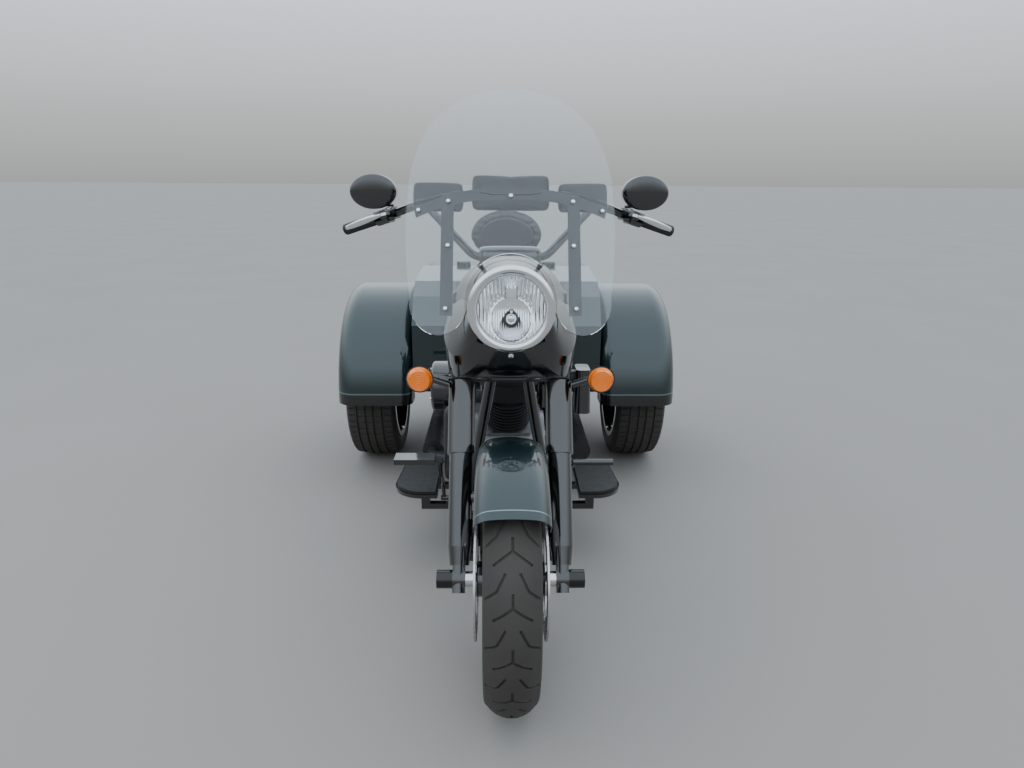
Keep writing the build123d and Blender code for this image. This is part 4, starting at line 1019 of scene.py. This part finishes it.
def pressSeams(mesh, paths, axes, facing, width, depth):
    # Presses narrow valleys into the faces that look one way, along paths in two coordinates
    parts = [(Vector(p), Vector(q)) for path in paths for p, q in zip(path, path[1:])]
    lows = [min(p[k] for part in parts for p in part) - 3 * width for k in (0, 1)]
    highs = [max(p[k] for part in parts for p in part) + 3 * width for k in (0, 1)]
    moves = []
    for v in mesh.vertices:
        here = Vector((v.co[axes[0]], v.co[axes[1]]))
        if v.normal.dot(facing) < 0.25 or not all(lows[k] < here[k] < highs[k] for k in (0, 1)):
            continue
        away = 1.0
        for p, q in parts:
            along = q - p
            share = min(1.0, max(0.0, (here - p).dot(along) / max(along.length_squared, 1e-12)))
            away = min(away, (here - p - along * share).length)
        if away < 3 * width:
            moves.append((v.index, v.normal * depth * math.exp(-((away / width) ** 2))))
    for index, move in moves:
        mesh.vertices[index].co -= move


def surfaceOf(mesh):
    edit = bmesh.new()
    edit.from_mesh(mesh)
    tree = BVHTree.FromBMesh(edit)
    edit.free()
    return tree


def piping(name, points, radius, look, body, cyclic=False):
    # A thin round cord sewn along a seam
    curve = bpy.data.curves.new(name, "CURVE")
    curve.dimensions = "3D"
    curve.bevel_depth = radius
    curve.bevel_resolution = 2
    curve.use_fill_caps = True
    run = curve.splines.new("POLY")
    run.points.add(len(points) - 1)
    for k, point in enumerate(points):
        run.points[k].co = (*point, 1.0)
    run.use_cyclic_u = cyclic
    mesh = settled(working(name, curve))
    bpy.data.curves.remove(curve)
    keepPiece(name, outward(mesh), look, body)


def laidOn(tree, path, place, aim, lift):
    # Drops points of a path onto a surface along one direction
    points = []
    for u, w in path:
        hit, normal, _, _ = tree.ray_cast(place(u, w), aim)
        if hit is not None:
            points.append(hit + normal * lift)
    return points


def between(path, step):
    # The same path with points no more than about a step apart
    out = []
    for (x0, y0), (x1, y1) in zip(path, path[1:]):
        count = max(1, int(math.hypot(x1 - x0, y1 - y0) / step))
        out += [(x0 + (x1 - x0) * k / count, y0 + (y1 - y0) * k / count) for k in range(count)]
    return out + [path[-1]]


def makeBag(s):
    # Three pockets behind the screen, each with a flap line and a bound edge above it
    for name, low, high, flap in s["pockets"]:
        pocket = solidCopy("screen_bag", lambda co: low < co.x < high)
        mesh = swollen(pocket, s, lambda normal: False)
        pressSeams(mesh, [flap], (0, 2), Vector(s["front"]), s["seamWidth"], s["seamDepth"])
        tree = surfaceOf(mesh)
        route = between([(x, z + s["bindingRise"]) for x, z in flap], s["bindingStep"])
        line = laidOn(tree, route, lambda x, z: Vector((x, -1.3, z)), Vector((0, 1, 0)), s["bindingLift"])
        piece = keepPiece(name, mesh, "bagFabric", "fork", replaced=("screen_bag",))
        if len(line) > 2:
            piping(name + "Binding", line, s["bindingRadius"], "threadGrey", "fork")


def makeSeat(s):
    mesh = solidCopy("seat", lambda co: True)
    for v in mesh.vertices:
        reach = min(1.0, max(0.0, (v.co.y - s["noseStart"]) / s["noseLength"]))
        v.co.x *= s["noseWidth"] + s["widening"] * reach * reach * (3 - 2 * reach)
    mesh = swollen(mesh, s, lambda normal: normal.z < -0.8)
    for half, y, width, depth in s["channels"]:
        pressSeams(mesh, [((-half, y), (half, y))], (0, 1), Vector((0, 0, 1)), width, depth)
    piece = keepPiece("saddle", mesh, "grainedVinyl", "chassis", replaced=("seat",))
    tree = surfaceOf(mesh)
    route = between(s["pipingRoute"], s["pipingStep"])
    for sideName, sign in (("left", 1), ("right", -1)):
        inwards = Vector((-sign, 0, 0))
        line = laidOn(tree, route, lambda y, z: Vector((sign * 0.6, y, z)), inwards, s["pipingLift"])
        if len(line) > 2:
            piping(sideName + "SaddlePiping", line, s["pipingRadius"], "grainedVinyl", "chassis")


def makeBackrest(s):
    mesh = swollen(solidCopy("backrest_pad", lambda co: True), s, lambda normal: normal.y > 0.85)
    halfWide, halfHigh = s["seamHalf"]
    turns = [2 * math.pi * k / 40 for k in range(41)]
    loop = [(halfWide * math.cos(turn), s["middle"] + halfHigh * math.sin(turn)) for turn in turns]
    pressSeams(mesh, [loop], (0, 2), Vector((0, -1, 0)), s["seamWidth"], s["seamDepth"])
    node = "backrest_pad"
    piece = keepPiece("backrestCushion", mesh, "grainedVinyl", "chassis", replaced=(node,))
    tree = surfaceOf(mesh)
    middleY = sum(corner.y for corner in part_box("backrest_pad")) / 2 - s["pipingAhead"]
    edge = []
    for k in range(96):
        turn = 2 * math.pi * k / 96
        aim = Vector((-math.cos(turn), 0, -math.sin(turn)))
        hit = tree.ray_cast(Vector((0, middleY, s["middle"])) - aim * 0.4, aim)[0]
        if hit is not None:
            edge.append(hit)
    piping("backrestPiping", edge, s["pipingRadius"], "grainedVinyl", "chassis", cyclic=True)


makeBag(screenBag)
makeSeat(saddle)
makeBackrest(backrest)
print("Padded pieces ready")


# Headlamp: a fluted reflector with a lower bowl, its bulb shield and an upper shade
headlamp = {
    "centre": (0.0, -0.8755, 0.980),
    "radius": 0.0835,
    "rimDepth": 0.0125,
    "depth": 0.060,
    "bowlDrop": 0.030,
    "bowlRadius": 0.050,
    "bowlDepth": 0.052,
    "fluteWidth": 0.0090,
    "fluteRise": 0.0026,
    "cell": 0.0012,
    "wall": 0.0008,
    "bowlRimDepth": 0.018,
    "bowlFluteWidth": 0.66,  # shares of the flutes above the bowl
    "bowlFluteRise": 0.5,
    "ridgeRise": 0.005,
    "ridgeWidth": 0.0022,
    "shieldDepth": 0.066,
    "shadeDepth": 0.058,
    "shadeRise": 0.036,
    # (radius, height) profiles, heights growing out of the lamp
    "bulbShield": (
        (0.0130, 0.0), (0.0130, 0.024), (0.0122, 0.029), (0.0095, 0.0325), (0.005, 0.0345), (0.0001, 0.035),
    ),
    "bulbCollar": ((0.0175, 0.0), (0.0175, 0.010), (0.0162, 0.012), (0.0150, 0.012), (0.0150, 0.0)),
    "upperShade": ((0.0200, 0.0), (0.0165, 0.020), (0.0150, 0.022), (0.0001, 0.022)),
}


def reflectorDepth(s, x, z):
    r = math.hypot(x, z)
    field = s["rimDepth"] + s["depth"] * (1 - (r / s["radius"]) ** 2)
    q = math.hypot(x, z + s["bowlDrop"])
    if q < s["bowlRadius"]:
        fine = s["fluteWidth"] * s["bowlFluteWidth"]
        bowl = s["bowlRimDepth"] + s["bowlDepth"] * (1 - (q / s["bowlRadius"]) ** 2)
        return max(bowl, field) - s["bowlFluteRise"] * s["fluteRise"] * abs(math.cos(math.pi * x / fine))
    ridge = s["ridgeRise"] * math.exp(-(((q - s["bowlRadius"]) / s["ridgeWidth"]) ** 2))
    return field - ridge - s["fluteRise"] * abs(math.cos(math.pi * x / s["fluteWidth"]))


def makeReflector(s):
    count = int(s["radius"] / s["cell"]) + 1
    cx, cy, cz = s["centre"]
    points, faces, number = [], [], {}

    def pointAt(i, j):
        if (i, j) not in number:
            x, z = i * s["cell"], j * s["cell"]
            r = math.hypot(x, z)
            if r > s["radius"]:
                x, z = x * s["radius"] / r, z * s["radius"] / r
            number[(i, j)] = len(points)
            points.append((cx + x, cy + reflectorDepth(s, x, z), cz + z))
        return number[(i, j)]

    for i in range(-count, count):
        for j in range(-count, count):
            if math.hypot((i + 0.5) * s["cell"], (j + 0.5) * s["cell"]) < s["radius"]:
                faces.append((pointAt(i, j), pointAt(i + 1, j), pointAt(i + 1, j + 1), pointAt(i, j + 1)))
    skin = meshFrom("reflector", points, faces)
    mesh = outward(modified(skin, ("SOLIDIFY", {"thickness": s["wall"], "offset": -1.0})), 1e-7)
    keepPiece("flutedReflector", sharpen(mesh, 50), "reflectorSilver", "fork")


def facingFront(x, y, z):
    # A frame whose Z looks straight ahead, out of the lamp
    return Matrix.Translation((x, y, z)) @ Matrix.Rotation(math.pi / 2, 4, "X")


def makeLampParts(s):
    cx, cy, cz = s["centre"]
    low = facingFront(cx, cy + s["shieldDepth"], cz - s["bowlDrop"])
    high = facingFront(cx, cy + s["shadeDepth"], cz + s["shadeRise"]) @ Matrix.Rotation(math.pi / 4, 4, "Z")
    for name, sides, base, crease, look, slot in (
        ("bulbShield", 40, low, 40, "brightChrome", "chrome"),
        ("bulbCollar", 40, low, 40, "blackSatin", "black_satin"),
        ("upperShade", 4, high, 30, "reflectorSilver", "chrome"),
    ):
        keepPiece(name, sharpen(lathed(name, s[name], sides, base), crease), look, "fork")


makeReflector(headlamp)
makeLampParts(headlamp)
print("Headlamp ready")


# Mirrors with domed backs and inset glass, broad rounded lever blades and the handlebar's clamp cover
mirror = {
    "x": 0.400,
    "y": -0.4055,
    "z": 1.245,
    "half": (0.068, 0.050),
    "thick": 0.028,
    "dome": 0.012,
    "plate": 0.0012,
    # profiles as shares of the half width and of the height
    "domeProfile": (
        (1.0, 0.0), (0.985, 0.22), (0.90, 0.52), (0.72, 0.76), (0.45, 0.93), (0.18, 0.99), (0.0001, 1.0),
    ),
    "plateProfile": ((0.90, 0.0), (0.90, 0.8), (0.88, 1.0), (0.0001, 1.0)),
}
lever = {
    "start": (0.3393, -0.3982, 1.1839),
    "along": (0.8470, 0.4484, -0.2856),
    "ahead": (0.46786, -0.88377, 0.0),
    "up": (0.2524, 0.1336, 0.9583),
    # along, ahead, half height, half thickness
    "stations": (
        (0.010, 0.052, 0.0052, 0.0052), (0.030, 0.0545, 0.0070, 0.0060), (0.060, 0.0510, 0.0095, 0.0058),
        (0.100, 0.0440, 0.0105, 0.0056), (0.140, 0.0352, 0.0098, 0.0056), (0.160, 0.0300, 0.0080, 0.0056),
        (0.168, 0.0278, 0.0078, 0.0072), (0.176, 0.0262, 0.0076, 0.0076), (0.182, 0.0250, 0.0048, 0.0048),
    ),
}
clampCover = {
    "y": -0.5455,
    "z": 1.070,
    "half": (0.030, 0.032),
    # x, share of the half widths
    "stations": (
        (-0.088, 0.50), (-0.087, 0.80), (-0.078, 0.96), (-0.040, 1.0),
        (0.040, 1.0), (0.078, 0.96), (0.087, 0.80), (0.088, 0.50),
    ),
}


def ovalSweep(name, rings, sides):
    # rings hold (centre, first half axis vector, second half axis vector)
    turns = [2 * math.pi * k / sides for k in range(sides)]
    skin = [
        [centre + first * math.cos(turn) + second * math.sin(turn) for turn in turns]
        for centre, first, second in rings
    ]
    return loft(name, skin)


def makeMirrors(s):
    backs, glasses = [], []
    for sign in (1, -1):
        front = facingFront(sign * s["x"], s["y"] - s["thick"], s["z"])
        domed = front @ Matrix.Diagonal((*s["half"], s["dome"], 1.0))
        backs.append(lathed("mirrorBack", s["domeProfile"], 48, domed))
        rear = Matrix.Translation((sign * s["x"], s["y"], s["z"])) @ Matrix.Rotation(-math.pi / 2, 4, "X")
        flat = rear @ Matrix.Diagonal((*s["half"], s["plate"], 1.0))
        glasses.append(lathed("mirrorPlate", s["plateProfile"], 48, flat))
    keepPiece("mirrorBacks", sharpen(joined("mirrorBacks", backs), 40), "blackGloss", "fork")
    keepPiece("mirrorPlates", sharpen(joined("mirrorPlates", glasses), 40), "mirrorGlass", "fork")


def makeLevers(s):
    blades = []
    for sign in (1, -1):
        flip = Matrix.Diagonal((sign, 1.0, 1.0))
        start, along, ahead, up = (flip @ Vector(s[key]) for key in ("start", "along", "ahead", "up"))
        rings = [
            (start + along * a + ahead * f, up * high, ahead * thick) for a, f, high, thick in s["stations"]
        ]
        blades.append(modified(ovalSweep("blade", rings, 12), subdivide))
    keepPiece("leverBlades", joined("leverBlades", blades), "brightChrome", "fork")


def makeClampCover(s):
    # A rounded sleeve over the bar between its risers
    halfY, halfZ = s["half"]
    rings = [
        (Vector((x, s["y"], s["z"])), Vector((0, halfY * share, 0)), Vector((0, 0, halfZ * share)))
        for x, share in s["stations"]
    ]
    cover = modified(ovalSweep("clampCover", rings, 16), subdivide)
    keepPiece("clampCover", cover, "blackGloss", "fork")


makeMirrors(mirror)
makeLevers(lever)
makeClampCover(clampCover)
print("Mirrors and levers ready")


# Fasteners
screenFixings = {
    "bendRadius": 0.6,  # of the sheet, seen from above
    "footY": -0.8105,
    "footZ": 0.93,
    "lean": 0.5,
    "across": 0.013,
    "middle": (0.0, 1.243),
    "sides": ((0.166, 1.228), (0.166, 1.117), (0.170, 0.963), (0.248, 1.203)),
}
# circles of heads round an axis along X
discCircle = {"x": 0.0895, "radius": 0.037, "count": 5, "across": 0.009, "first": 0.3}
wheelCircle = {"x": 0.654, "radius": 0.042, "count": 5, "across": 0.018, "first": 0.3}
primaryCircle = {"x": 0.2053, "radius": 0.095, "count": 8, "across": 0.010, "first": 0.3}
cleanerCircle = {"x": 0.262, "radius": 0.060, "count": 3, "across": 0.009, "first": 1.57}
primaryMiddle = Vector((0.0, -0.1155, 0.320))
cleanerMiddle = Vector((0.0, -0.2255, 0.588))
lampScrew = {"z": 0.858, "across": 0.016}


def screenRow(x, z, s=screenFixings):
    # A row on the front of the bent, leaning sheet
    depth = math.sqrt(s["bendRadius"] ** 2 - x * x)
    y = s["footY"] + (z - s["footZ"]) * s["lean"] + (s["bendRadius"] - depth)
    return (x, y, z, (x / depth, -1.0, s["lean"]), s["across"])


def circleRows(s, middle, side):
    # Rows round a middle, on the face that looks to one side
    rows = []
    for k in range(s["count"]):
        turn = s["first"] + 2 * math.pi * k / s["count"]
        y, z = middle.y + s["radius"] * math.cos(turn), middle.z + s["radius"] * math.sin(turn)
        rows.append((side * s["x"], y, z, (side, 0, 0), s["across"]))
    return rows


screenRivets = [screenRow(*screenFixings["middle"])]
for sign in (1, -1):
    screenRivets += [screenRow(sign * x, z) for x, z in screenFixings["sides"]]
fasteners("screenRivets", "dome", screenRivets, "brightChrome", "fork")
discBolts = circleRows(discCircle, frontAxle, 1) + circleRows(discCircle, frontAxle, -1)
fasteners("discBolts", "socket", discBolts, "plainSteel", "front_wheel")
for sideName, side in (("left", 1), ("right", -1)):
    rows = circleRows(wheelCircle, rearAxles[sideName], side)
    fasteners(sideName + "WheelNuts", "nut", rows, "brightChrome", sideName + "_wheel")
coverScrews = circleRows(primaryCircle, primaryMiddle, 1) + circleRows(cleanerCircle, cleanerMiddle, -1)
fasteners("coverScrews", "socket", coverScrews, "brightChrome", "chassis")
nacelleSkin = surfaceOf(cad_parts["nacelle"].data)
spot, normal, _, _ = nacelleSkin.ray_cast(Vector((0.0, -2.0, lampScrew["z"])), Vector((0, 1, 0)))
if spot is not None:
    rows = [(*spot, normal if normal.y < 0 else -normal, lampScrew["across"])]
    fasteners("lampScrew", "dome", rows, "brightChrome", "fork")
print("Fasteners ready")
